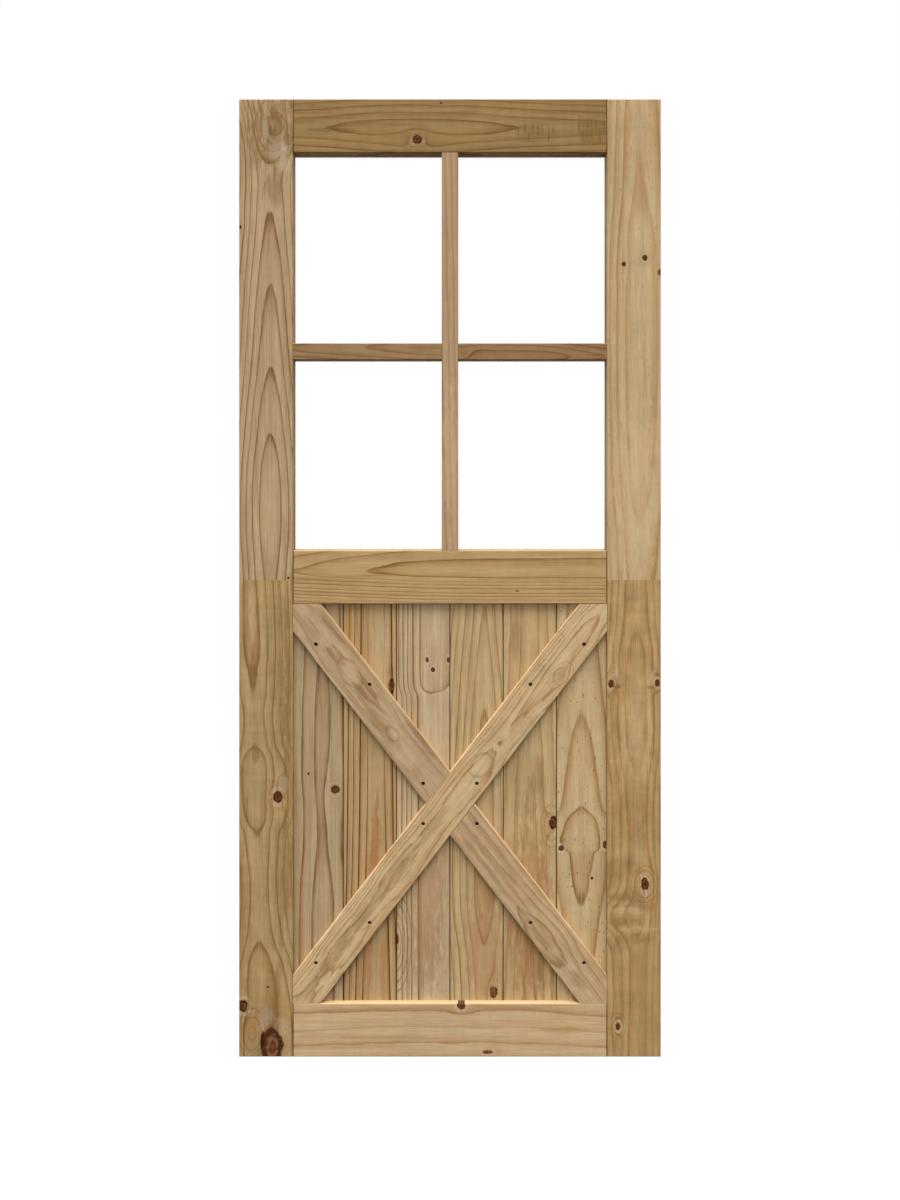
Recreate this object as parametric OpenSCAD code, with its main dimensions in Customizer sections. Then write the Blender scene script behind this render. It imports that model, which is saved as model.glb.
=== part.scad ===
// Leaf of a sliding barn door in knotty pine: four clear panes above the mid rail, and a panel of
// V-joint planks with an X brace below it. Millimetres, +Z up, front face towards -Y, and the
// origin at the middle of the leaf's bottom edge.

/* [Door leaf] */
// Overall width of the leaf
door_w = 939.8; // [800:0.1:1250]
// Overall height of the leaf
door_h = 2133.6; // [1900:0.1:2450]
// Thickness of the stiles and rails
door_t = 35; // [32:0.1:60]

/* [Frame] */
// Width of each stile
stile_w = 120; // [90:0.5:170]
// Height of the top rail
top_rail_h = 119; // [90:0.5:200]
// Height of the mid rail
mid_rail_h = 119; // [90:0.5:200]
// Height of the bottom rail
bottom_rail_h = 119; // [90:0.5:250]
// Height of the mid rail's underside above the leaf's bottom edge
mid_rail_z = 1009; // [800:0.5:1200]
// Radius of the eased edges of the frame, the glazing bars and the brace
edge_r = 2; // [0.5:0.1:4]

/* [Stile end joints] */
// Height of the line where the two lengths of a stile meet
stile_joint_z = 1062; // [400:1:1700]
// Fingers in the end joint
finger_count = 5; // [3:1:8]
// Length of a finger
finger_len = 10; // [4:0.5:16]
// Flat at the tip of a finger
finger_tip = 0.8; // [0.2:0.1:1.6]

/* [Rail joints] */
// Diameter of the dowels
dowel_d = 12; // [8:0.5:16]
// Length of the dowels
dowel_len = 100; // [60:1:160]
// Chamfer at the ends of the dowels
dowel_chamfer = 1.5; // [0.5:0.1:3]
// Distance from the edge of a rail to the axis of its dowels
dowel_inset = 28; // [22:0.5:40]
// Radial clearance of the dowels in their bores
dowel_fit = 0.1; // [0.05:0.05:0.3]
// Spare depth of the dowel bores and of the mortises
joint_spare = 1; // [0.5:0.5:2]
// Solid wood left between the mid rail's tenon and the glazing rebate
tenon_shoulder = 12; // [4:0.5:30]

/* [Plank panel] */
// Planks across the panel
plank_count = 6; // [4:2:8]
// Thickness of the planks
plank_t = 12; // [9:0.5:14]
// Depth of the planks' face behind the leaf's front face
panel_recess = 11.5; // [8:0.5:13]
// Depth of the grooves that hold the planks
groove_depth = 10; // [7:0.5:15]
// Room for the outer planks to swell in the grooves of the stiles
plank_side_gap = 1.4; // [0.5:0.1:3]
// Room above the planks in the groove of the mid rail
plank_top_gap = 3; // [1:0.5:5]
// Open joint between two planks
plank_joint = 0.5; // [0.2:0.1:1]
// Clearance of a plank in its groove and of a tongue in its slot, on each face
plank_fit = 0.15; // [0.05:0.05:0.4]
// Thickness of the tongues
tongue_t = 4; // [3:0.5:6]
// Length of the tongues
tongue_len = 6; // [4:0.5:8]
// Size of the chamfers that make the V joints
v_chamfer = 2; // [1:0.1:2.8]

/* [X brace] */
// Width of the brace boards
brace_w = 86; // [60:0.5:110]
// Clearance at the ends and at the crossing of the brace boards
brace_fit = 0.2; // [0.1:0.05:0.5]
// Distance of the screws from the centre line of their board
screw_offset = 20; // [8:0.5:28]
// Diameter of the sink over a screw
sink_d = 9; // [8.5:0.1:11]
// Depth of a screw's head below the face of the brace
sink_depth = 3; // [1.5:0.5:4]
// Diameter of a screw's head
screw_head_d = 8; // [6.5:0.1:8.4]
// Height of the rim of a screw's head
screw_rim = 0.5; // [0.2:0.1:1]
// Diameter of a screw's shank
screw_d = 4; // [3:0.1:4.5]
// Length of a screw's point
screw_point = 5; // [3:0.5:7]
// Wood left in the plank behind the point of a screw
screw_cover = 2.5; // [1:0.5:5]
// Width of a slot of the cross recess in a screw's head
drive_slot = 1.2; // [0.8:0.1:1.6]
// Length of a slot of the cross recess
drive_len = 4.6; // [3.5:0.1:5.5]
// Depth of the cross recess
drive_depth = 1.6; // [1:0.1:2]

/* [Glazing] */
// Width of the glazing bars
bar_w = 37; // [28:0.5:60]
// Depth of the fillet in front of the glass
fillet_t = 20.5; // [14:0.5:23]
// Width of the rebate behind the fillet
rebate_w = 8; // [6:0.5:10]
// Thickness of the glass
glass_t = 4; // [3:0.5:6]
// Clearance round the edge of a pane
glass_gap = 1.5; // [0.5:0.5:3]
// Thickness of the glazing tape
tape_t = 1; // [0.5:0.1:2]
// How far the tape stays back from the edge of the fillet
tape_set = 0.5; // [0:0.1:1.5]
// Clearance of the beads in the rebate
bead_fit = 0.1; // [0.05:0.05:0.3]
// Radius of the eased edges of the beads
bead_r = 1; // [0.4:0.1:2]
// Length of the tenons of the glazing bars
bar_tenon_len = 8; // [5:0.5:12]
// Thickness of the tenons of the glazing bars
bar_tenon_t = 8; // [6:0.5:12]
// Width of the tenons of the glazing bars
bar_tenon_w = 22; // [14:0.5:26]
// Clearance of the tenons of the glazing bars, on each face
tenon_fit = 0.1; // [0.05:0.05:0.3]

/* [Bead pins] */
// Diameter of the pins
pin_d = 1.2; // [1:0.1:1.6]
// Diameter of the heads of the pins
pin_head_d = 2; // [1.7:0.1:2.4]
// Height of the heads of the pins
pin_head_h = 0.6; // [0.4:0.1:1]
// Length of the pins
pin_len = 15; // [12:0.5:18]
// Distance from the end of a bead to its first pin
pin_inset = 50; // [25:1:90]
// Shift that keeps the pins of neighbouring panes clear of each other
pin_stagger = 12; // [6:1:20]
// Clearance of pins and screws in their holes
pin_fit = 0.05; // [0.05:0.05:0.15]
// Spare depth of the holes for pins and screws
pin_spare = 0.5; // [0.2:0.1:0.8]

/* [Hidden] */
$fn = 48;

// Overshoot of a cut past the face that it opens
over = 1;

// Depths from the front face to the back face
y_front = -door_t / 2;
y_back = door_t / 2;
y_plank = y_front + panel_recess;
y_plank_back = y_plank + plank_t;
y_plank_mid = y_plank + plank_t / 2;
y_rebate = y_front + fillet_t;
y_glass = y_rebate + tape_t;
y_bead = y_glass + glass_t;
y_bead_mid = (y_bead + y_back) / 2;
y_tenon = y_front + fillet_t / 2;
bead_t = y_back - y_bead;
bead_w = rebate_w - bead_fit;

// The two openings of the frame
x_in = door_w / 2 - stile_w;
panel_z0 = bottom_rail_h;
panel_z1 = mid_rail_z;
panel_h = panel_z1 - panel_z0;
panel_zc = (panel_z0 + panel_z1) / 2;
lights_z0 = mid_rail_z + mid_rail_h;
lights_z1 = door_h - top_rail_h;
half_bar_z = (lights_z0 + lights_z1) / 2;

// Top of the mid rail's tenon, below the glazing rebate
mid_tenon_z1 = lights_z0 - rebate_w - tenon_shoulder;

// Planks share the width between the bottoms of the stiles' grooves
panel_cover = 2 * (x_in + groove_depth - plank_side_gap);
plank_pitch = panel_cover / plank_count;

// The brace's boards leave the corners with equal legs on the stile and the rail, and the legs
// and the slope depend on each other
function brace_leg(slope) = brace_w / (sin(slope) + cos(slope));
function brace_slope(slope, rounds) =
    rounds == 0 ? slope
    : brace_slope(atan((panel_h - brace_leg(slope)) / (2 * x_in - brace_leg(slope))), rounds - 1);
slope = brace_slope(atan(panel_h / (2 * x_in)), 8);
brace_reach = panel_h + 2 * x_in;
screw_len = panel_recess + plank_t - sink_depth - screw_cover;

// Name, side and row of each pane
PANES = [["upper_left", -1, 1], ["upper_right", 1, 1], ["lower_left", -1, 0], ["lower_right", 1, 0]];
BEAD_SIDES = ["top", "bottom", "left", "right"];

// Colours of the boards, the glass and the hardware
PINE_PALE = [0.74, 0.64, 0.48];
PINE_TAN = [0.66, 0.54, 0.38];
PINE_WARM = [0.68, 0.55, 0.36];
BEECH = [0.76, 0.62, 0.45];
GLASS = [0.86, 0.93, 0.91, 0.35];
TAPE = [0.85, 0.85, 0.82];
STEEL = [0.66, 0.66, 0.66];
BLACK = [0.1, 0.1, 0.1];

// Sight edges of a pane, across and up
function pane_x(p) = p[1] < 0 ? [-x_in, -bar_w / 2] : [bar_w / 2, x_in];
function pane_z(p) = p[2] > 0 ? [half_bar_z + bar_w / 2, lights_z1] : [lights_z0, half_bar_z - bar_w / 2];

// Box from one corner to the opposite one
module box(low, high) {
    translate(low) cube(high - low);
}

module eased_rect(w, h, r) {
    square([w - 2 * r, h], center = true);
    square([w, h - 2 * r], center = true);
    for (sx = [-1, 1], sy = [-1, 1])
        translate([sx * (w / 2 - r), sy * (h / 2 - r)]) circle(r);
}

// Board with eased edges that runs across the leaf, at its full thickness
module cross_board(x0, x1, z0, z1) {
    translate([x0, 0, (z0 + z1) / 2]) rotate([90, 0, 90])
        linear_extrude(x1 - x0) eased_rect(door_t, z1 - z0, edge_r);
}

// Board with eased edges that runs up the leaf, at its full thickness
module upright_board(x0, x1, z0, z1) {
    translate([(x0 + x1) / 2, 0, z0])
        linear_extrude(z1 - z0) eased_rect(x1 - x0, door_t, edge_r);
}

// Everything between the finger joint's zigzag and the height z_end
module finger_side(z_end) {
    pitch = door_t / finger_count;
    half = door_t / 2 + over;
    fingers = [
        for (i = [0:finger_count - 1]) let (y0 = y_front + i * pitch) each [
            [y0 + finger_tip / 2, stile_joint_z],
            [y0 + (pitch - finger_tip) / 2, stile_joint_z + finger_len],
            [y0 + (pitch + finger_tip) / 2, stile_joint_z + finger_len],
            [y0 + pitch - finger_tip / 2, stile_joint_z]
        ]
    ];
    ends = [[-half, z_end], [-half, stile_joint_z]];
    translate([-door_w, 0, 0]) rotate([90, 0, 90]) linear_extrude(2 * door_w)
        polygon(concat(ends, fingers, [[half, stile_joint_z], [half, z_end]]));
}

// Groove round the panel's opening
module panel_groove() {
    x = x_in + groove_depth;
    box([-x, y_plank - plank_fit, panel_z0 - groove_depth],
        [x, y_plank_back + plank_fit, panel_z1 + groove_depth]);
}

// The stiles' groove runs on behind the bottom and mid rails, where it holds their tenons
module stile_groove() {
    x = x_in + groove_depth;
    box([-x, y_plank - plank_fit, -over], [x, y_plank_back + plank_fit, mid_tenon_z1 + plank_fit]);
}

// Stub tenons at both ends of a rail
module rail_tenons(z0, z1) {
    x = x_in + groove_depth - joint_spare;
    box([-x, y_plank, z0], [x, y_plank_back, z1]);
}

// The rebated space behind the fillet of each pane
module pane_rebates() {
    for (p = PANES)
        let (x = pane_x(p), z = pane_z(p))
            box([x[0] - rebate_w, y_rebate, z[0] - rebate_w], [x[1] + rebate_w, y_back + over, z[1] + rebate_w]);
}

// Tenon that runs through the upright glazing bar, and its mortise when grown
module upright_tenon(grow = 0, deeper = 0) {
    x = bar_tenon_w / 2 + grow;
    y = bar_tenon_t / 2 + grow;
    reach = bar_tenon_len + deeper;
    box([-x, y_tenon - y, lights_z0 - reach], [x, y_tenon + y, lights_z1 + reach]);
}

// Tenon that runs through a half bar, and its mortises when grown
module half_bar_tenon(side, grow = 0, deeper = 0) {
    y = bar_tenon_t / 2 + grow;
    z = bar_tenon_w / 2 + grow;
    reach = bar_tenon_len + deeper;
    mirror([side < 0 ? 1 : 0, 0, 0])
        box([bar_w / 2 - reach, y_tenon - y, half_bar_z - z], [x_in + reach, y_tenon + y, half_bar_z + z]);
}

// Heights of the two dowels at each end of a rail
function dowel_heights(z0, z1) = [z0 + dowel_inset, z1 - dowel_inset];

module dowel_bores(z0, z1) {
    for (side = [-1, 1], z = dowel_heights(z0, z1))
        translate([side * x_in, 0, z]) rotate([0, 90, 0])
            cylinder(h = dowel_len + 2 * joint_spare, d = dowel_d + 2 * dowel_fit, center = true);
}

module dowels(z0, z1) {
    r = dowel_d / 2;
    half = dowel_len / 2;
    color(BEECH)
        for (side = [-1, 1], z = dowel_heights(z0, z1))
            translate([side * x_in, 0, z]) rotate([0, 90, 0]) rotate_extrude()
                polygon([
                    [0, -half], [r - dowel_chamfer, -half], [r, -half + dowel_chamfer],
                    [r, half - dowel_chamfer], [r - dowel_chamfer, half], [0, half]
                ]);
}

module all_dowel_bores() {
    dowel_bores(lights_z1, door_h);
    dowel_bores(panel_z1, lights_z0);
    dowel_bores(0, panel_z0);
}

// One pin along +Z from the face of its bead, and its hole when grown
module pin(grow = 0, deeper = 0, open = 0) {
    translate([0, 0, -open]) cylinder(h = pin_head_h + open, d = pin_head_d + 2 * grow);
    cylinder(h = pin_len + deeper, d = pin_d + 2 * grow);
}

// Three places along an edge, shifted so that neighbouring panes' pins miss each other
function pin_places(a, p) =
    let (shift = (p[1] > 0) == (p[2] > 0) ? pin_stagger : 0)
    [a[0] + pin_inset + shift, (a[0] + a[1]) / 2 + shift, a[1] - pin_inset + shift];

module pins_of_pane(p, grow = 0, deeper = 0, open = 0) {
    x = pane_x(p);
    z = pane_z(p);
    for (along = pin_places(z, p)) {
        translate([x[0], y_bead_mid, along]) rotate([0, -90, 0]) pin(grow, deeper, open);
        translate([x[1], y_bead_mid, along]) rotate([0, 90, 0]) pin(grow, deeper, open);
    }
    for (along = pin_places(x, p)) {
        translate([along, y_bead_mid, z[0]]) rotate([180, 0, 0]) pin(grow, deeper, open);
        translate([along, y_bead_mid, z[1]]) pin(grow, deeper, open);
    }
}

module pin_holes() {
    for (p = PANES)
        pins_of_pane(p, pin_fit, pin_spare, over);
}

module bead_pins() {
    color(STEEL)
        for (p = PANES)
            pins_of_pane(p);
}

// Full-height stile, before it is divided at the finger joint
module stile(side) {
    outer = door_w / 2;
    difference() {
        intersection() {
            mirror([side < 0 ? 1 : 0, 0, 0]) upright_board(x_in, outer, 0, door_h);
            cross_board(-outer - over, outer + over, 0, door_h);
        }
        stile_groove();
        panel_groove();
        pane_rebates();
        half_bar_tenon(side, tenon_fit, joint_spare);
        all_dowel_bores();
        pin_holes();
    }
}

module stile_lower(side, tint) {
    color(tint) intersection() {
        stile(side);
        finger_side(-over);
    }
}

module stile_upper(side, tint) {
    color(tint) intersection() {
        stile(side);
        finger_side(door_h + over);
    }
}

module top_rail() {
    color(PINE_TAN) difference() {
        cross_board(-x_in, x_in, lights_z1, door_h);
        pane_rebates();
        upright_tenon(tenon_fit, joint_spare);
        dowel_bores(lights_z1, door_h);
        pin_holes();
    }
}

module mid_rail() {
    color(PINE_WARM) difference() {
        union() {
            cross_board(-x_in, x_in, panel_z1, lights_z0);
            rail_tenons(panel_z1, mid_tenon_z1);
        }
        panel_groove();
        pane_rebates();
        upright_tenon(tenon_fit, joint_spare);
        dowel_bores(panel_z1, lights_z0);
        pin_holes();
    }
}

module bottom_rail() {
    color(PINE_PALE) difference() {
        union() {
            cross_board(-x_in, x_in, 0, panel_z0);
            rail_tenons(0, panel_z0);
        }
        panel_groove();
        dowel_bores(0, panel_z0);
    }
}

module glazing_bar_upright() {
    color(PINE_TAN) difference() {
        union() {
            upright_board(-bar_w / 2, bar_w / 2, lights_z0, lights_z1);
            upright_tenon();
        }
        pane_rebates();
        for (side = [-1, 1])
            half_bar_tenon(side, tenon_fit, joint_spare);
        pin_holes();
    }
}

module glazing_half_bar(side) {
    z = bar_w / 2;
    color(PINE_PALE) difference() {
        union() {
            mirror([side < 0 ? 1 : 0, 0, 0]) cross_board(bar_w / 2, x_in, half_bar_z - z, half_bar_z + z);
            half_bar_tenon(side);
        }
        pane_rebates();
        pin_holes();
    }
}

// Outer edges of a pane, inside its rebate
function glass_low(p) = [pane_x(p)[0] - rebate_w + glass_gap, pane_z(p)[0] - rebate_w + glass_gap];
function glass_high(p) = [pane_x(p)[1] + rebate_w - glass_gap, pane_z(p)[1] + rebate_w - glass_gap];

module pane(p) {
    low = glass_low(p);
    high = glass_high(p);
    color(GLASS) box([low[0], y_glass, low[1]], [high[0], y_bead, high[1]]);
}

module glazing_tape(p) {
    low = glass_low(p);
    high = glass_high(p);
    x = pane_x(p);
    z = pane_z(p);
    color(TAPE) difference() {
        box([low[0], y_rebate, low[1]], [high[0], y_glass, high[1]]);
        box([x[0] - tape_set, y_rebate - over, z[0] - tape_set], [x[1] + tape_set, y_glass + over, z[1] + tape_set]);
    }
}

// Top and bottom beads fill the rebate's width, and the side beads stand between them
module bead(p, side) {
    x = pane_x(p);
    z = pane_z(p);
    len_x = x[1] - x[0] + 2 * bead_w;
    len_z = z[1] - z[0] - 2 * bead_fit;
    color(PINE_PALE) difference() {
        if (side == "top" || side == "bottom") {
            mid_z = side == "top" ? z[1] + bead_w / 2 : z[0] - bead_w / 2;
            translate([x[0] - bead_w, y_bead_mid, mid_z]) rotate([90, 0, 90])
                linear_extrude(len_x) eased_rect(bead_t, bead_w, bead_r);
        } else {
            mid_x = side == "right" ? x[1] + bead_w / 2 : x[0] - bead_w / 2;
            translate([mid_x, y_bead_mid, z[0] + bead_fit])
                linear_extrude(len_z) eased_rect(bead_w, bead_t, bead_r);
        }
        pins_of_pane(p, pin_fit, pin_spare, over);
    }
}

// Section of a plank from its left edge: plain, or with a slot and V chamfers
function slot_edge(x, inner) =
    let (t = tongue_t / 2 + plank_fit, d = tongue_len)
    !inner ? [[x, y_plank], [x, y_plank_back]]
    : [
        [x + v_chamfer, y_plank], [x, y_plank + v_chamfer],
        [x, y_plank_mid - t], [x + d, y_plank_mid - t], [x + d, y_plank_mid + t], [x, y_plank_mid + t],
        [x, y_plank_back - v_chamfer], [x + v_chamfer, y_plank_back]
    ];

// Right edge of a plank: plain, or with a tongue and V chamfers
function tongue_edge(x, inner) =
    let (t = tongue_t / 2, d = tongue_len)
    !inner ? [[x, y_plank_back], [x, y_plank]]
    : [
        [x - v_chamfer, y_plank_back], [x, y_plank_back - v_chamfer],
        [x, y_plank_mid + t], [x + d, y_plank_mid + t], [x + d, y_plank_mid - t], [x, y_plank_mid - t],
        [x, y_plank + v_chamfer], [x - v_chamfer, y_plank]
    ];

module plank(k) {
    x0 = -panel_cover / 2 + (k - 1) * plank_pitch;
    last = k == plank_count;
    x1 = x0 + plank_pitch - (last ? 0 : plank_joint);
    z0 = panel_z0 - groove_depth;
    z1 = panel_z1 + groove_depth - plank_top_gap;
    color(k % 2 == 0 ? PINE_PALE : PINE_WARM) difference() {
        translate([0, 0, z0]) linear_extrude(z1 - z0)
            polygon(concat(slot_edge(x0, k > 1), tongue_edge(x1, !last)));
        screw_holes();
    }
}

// Section of a brace board, with its two front edges eased
module brace_section() {
    translate([-brace_w / 2, edge_r]) square([brace_w, panel_recess - edge_r]);
    translate([-brace_w / 2 + edge_r, 0]) square([brace_w - 2 * edge_r, panel_recess]);
    for (side = [-1, 1])
        translate([side * (brace_w / 2 - edge_r), edge_r]) circle(edge_r);
}

// Brace board cut to the panel's opening: side 1 rises to the right, side -1 falls
module brace_board(side) {
    x = x_in - brace_fit;
    intersection() {
        translate([0, y_front, panel_zc]) rotate([0, side * (90 - slope), 0])
            translate([0, 0, -brace_reach / 2]) linear_extrude(brace_reach) brace_section();
        box([-x, y_front, panel_z0 + brace_fit], [x, y_plank, panel_z1 - brace_fit]);
    }
}

// One half of the falling board, cut along the long board
module brace_half(low, high) {
    w = brace_w + 2 * brace_fit;
    color(PINE_TAN) difference() {
        intersection() {
            brace_board(-1);
            box([-x_in, y_front, low], [x_in, y_plank, high]);
        }
        translate([0, y_front + panel_recess / 2, panel_zc]) rotate([0, 90 - slope, 0])
            cube([w, panel_recess + 2 * over, brace_reach], center = true);
        screw_holes();
    }
}

module brace_long() {
    color(PINE_WARM) difference() {
        brace_board(1);
        screw_holes();
    }
}

module brace_upper() {
    brace_half(panel_zc, panel_z1);
}

module brace_lower() {
    brace_half(panel_z0, panel_zc);
}

// Each plank takes one screw from each board, set off from the board's centre line by turns
function screw_place(k) =
    let (x = -panel_cover / 2 + (k - 0.5) * plank_pitch)
    let (v = k % 2 == 0 ? -screw_offset : screw_offset)
    let (u = (x + v * sin(slope)) / cos(slope))
    [x, y_front + sink_depth, panel_zc - u * sin(slope) - v * cos(slope)];

module at_screws() {
    for (side = [0, 1], k = [1:plank_count])
        mirror([side, 0, 0]) translate(screw_place(k)) rotate([-90, 0, 0]) children();
}

// Half section of a screw along its axis, from the top of its head
function screw_section(grow, deeper) =
    let (head = screw_head_d / 2 + grow, shank = screw_d / 2 + grow)
    [
        [0, 0], [head, 0], [head, screw_rim], [shank, screw_rim + head - shank],
        [shank, screw_len - screw_point + deeper], [0, screw_len + deeper]
    ];

module screw_holes() {
    at_screws() {
        translate([0, 0, -sink_depth - over]) cylinder(h = sink_depth + over + screw_rim, d = sink_d);
        rotate_extrude() polygon(screw_section(pin_fit, pin_spare));
    }
}

module brace_screws() {
    color(BLACK) at_screws() difference() {
        rotate_extrude() polygon(screw_section(0, 0));
        for (turn = [0, 90])
            rotate([0, 0, turn]) cube([drive_len, drive_slot, 2 * drive_depth], center = true);
    }
}

stile_lower(-1, PINE_WARM);  // left_stile_lower
stile_upper(-1, PINE_TAN);  // left_stile_upper
stile_lower(1, PINE_WARM);  // right_stile_lower
stile_upper(1, PINE_PALE);  // right_stile_upper
top_rail();
mid_rail();
bottom_rail();
dowels(lights_z1, door_h);  // top_rail_dowels
dowels(panel_z1, lights_z0);  // mid_rail_dowels
dowels(0, panel_z0);  // bottom_rail_dowels
glazing_bar_upright();
glazing_half_bar(-1);  // glazing_bar_left
glazing_half_bar(1);  // glazing_bar_right
for (p = PANES) {
    pane(p);
    glazing_tape(p);
    for (side = BEAD_SIDES)
        bead(p, side);
}
bead_pins();
for (k = [1:plank_count])
    plank(k);
brace_long();
brace_upper();
brace_lower();
brace_screws();
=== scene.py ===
"""Barn door leaf, four panes over a braced plank panel: its finishes, the light and the camera."""

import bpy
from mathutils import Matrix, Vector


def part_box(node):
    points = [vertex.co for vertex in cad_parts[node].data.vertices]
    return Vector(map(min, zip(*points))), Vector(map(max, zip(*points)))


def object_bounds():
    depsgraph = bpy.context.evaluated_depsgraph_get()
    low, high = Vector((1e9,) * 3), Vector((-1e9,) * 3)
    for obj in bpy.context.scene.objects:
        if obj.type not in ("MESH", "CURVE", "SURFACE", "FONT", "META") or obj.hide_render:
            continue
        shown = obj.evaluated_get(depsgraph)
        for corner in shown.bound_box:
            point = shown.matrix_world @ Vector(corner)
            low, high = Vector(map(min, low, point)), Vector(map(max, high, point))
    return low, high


bl_info = {
    "name": "Sliding glass barn door",
    "version": (1, 0, 0),
    "blender": (4, 5, 0),
    "location": "View3D > Sidebar > Barn door",
    "description": "Knotty pine, glass and screws for a braced barn door leaf, with a studio round it",
    "category": "Object",
}

import math
from dataclasses import dataclass

import bpy
from mathutils import Matrix, Vector

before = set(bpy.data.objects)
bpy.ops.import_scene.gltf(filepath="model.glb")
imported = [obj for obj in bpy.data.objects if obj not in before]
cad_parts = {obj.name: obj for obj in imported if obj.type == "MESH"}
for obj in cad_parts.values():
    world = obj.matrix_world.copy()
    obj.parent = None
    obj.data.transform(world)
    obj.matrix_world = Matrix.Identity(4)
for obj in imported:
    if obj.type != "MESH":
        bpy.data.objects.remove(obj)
CAD_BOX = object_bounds()

MM_PER_M = 1000.0
SIDEBAR_TAB = "Barn door"


def srgb(red, green, blue):
    """A colour as a paint chart gives it, 0 to 255, turned into the linear RGBA that shaders take."""
    def linear(level):
        share = level / 255
        return share / 12.92 if share <= 0.04045 else ((share + 0.055) / 1.055) ** 2.4
    return (linear(red), linear(green), linear(blue), 1.0)


# Wood of each board

@dataclass
class Knot:
    """One knot: its middle on the leaf and its half width in mm, and how the grain meets it.

    Stretch is its length along the grain over its width, and tone how dark it is. Bend parts the grain,
    swell lifts the year rings under it in mm, and fray is how pale its collar of torn fibres is.
    """
    x: float
    z: float
    radius: float
    stretch: float = 1.2
    tone: float = 1.0
    bend: float = 0.85
    swell: float = 0.0
    fray: float = 0.2


@dataclass
class Stain:
    """A soft patch of another tone: its middle, half width across and half length along the grain, mm."""
    x: float
    z: float
    across: float
    along: float
    color: tuple
    strength: float = 0.5


@dataclass
class Loop:
    """Closed year rings round a point: half sizes across and along the grain in mm, and their number."""
    x: float
    z: float
    across: float
    along: float
    rings: int = 1
    strength: float = 0.5


@dataclass
class Board:
    """How one board was cut from its log. Places are x and z on the leaf, sizes are mm.

    The heart of the log runs behind the point given, that far below the front face. Rise gives how the
    year rings climb along the board: pairs of a place along the grain, from the origin, and mm of ring.
    Where it climbs the rings close upwards, and where it falls they close downwards. Skew crowds the rings
    on one side, tilt leans the heart across the board, and plain is the half width left nearly clear.
    Swirl is how far the rings wander in mm, and ragged how rough that makes them. Contrast strengthens the
    dark line of each ring and soft spreads it. Flecks, ripple and curl are the strengths of resin flecks,
    planer marks and clouded figure; the planer marks are painted sheen, bands of lighter and darker tone.
    Edge is the strength of the painted shade in the joints along the board, and butt of that at its ends.
    """
    node: str
    pale: tuple
    dark: tuple
    heart: tuple
    depth: float = 20.0
    ring: float = 10.0
    rise: tuple = ()
    skew: float = 0.0
    tilt: float = 0.0
    plain: float = 0.5
    swirl: float = 1.5
    ragged: float = 1.2
    contrast: float = 1.0
    soft: float = 0.0
    flecks: float = 0.15
    ripple: float = 0.3
    curl: float = 0.25
    edge: float = 0.7
    butt: float = 0.0
    lean: float = 0.0
    origin: tuple = (0.0, 0.0)
    knots: tuple = ()
    loops: tuple = ()
    stains: tuple = ()


# Lean is the grain's angle from upright, in degrees. The slope is the brace boards' angle from level,
# and the crossing is the place on the leaf, in mm, where they meet.
UPRIGHT = 0.0
LEVEL = -90.0
BRACE_SLOPE = 52.39
RISING = BRACE_SLOPE - 90.0
FALLING = 90.0 - BRACE_SLOPE
BRACE_CROSSING = (0.0, 564.0)

FILLER_GREY = srgb(168, 152, 130)
FILLER_PALE = srgb(188, 170, 146)
BARK_BROWN = srgb(88, 62, 36)
RESIN_ORANGE = srgb(172, 124, 66)
RED_TAN = srgb(162, 113, 72)
PALE_SAP = srgb(204, 176, 138)
OLIVE_BROWN = srgb(126, 96, 54)
PLAIN_TAN = srgb(163, 132, 88)

# Narrow dark bands across the top rail's grain: their half width along the grain in mm, and their strength.
CROSS_BAND_HALF = 2.4
CROSS_BAND_STRENGTH = 0.6

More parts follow.
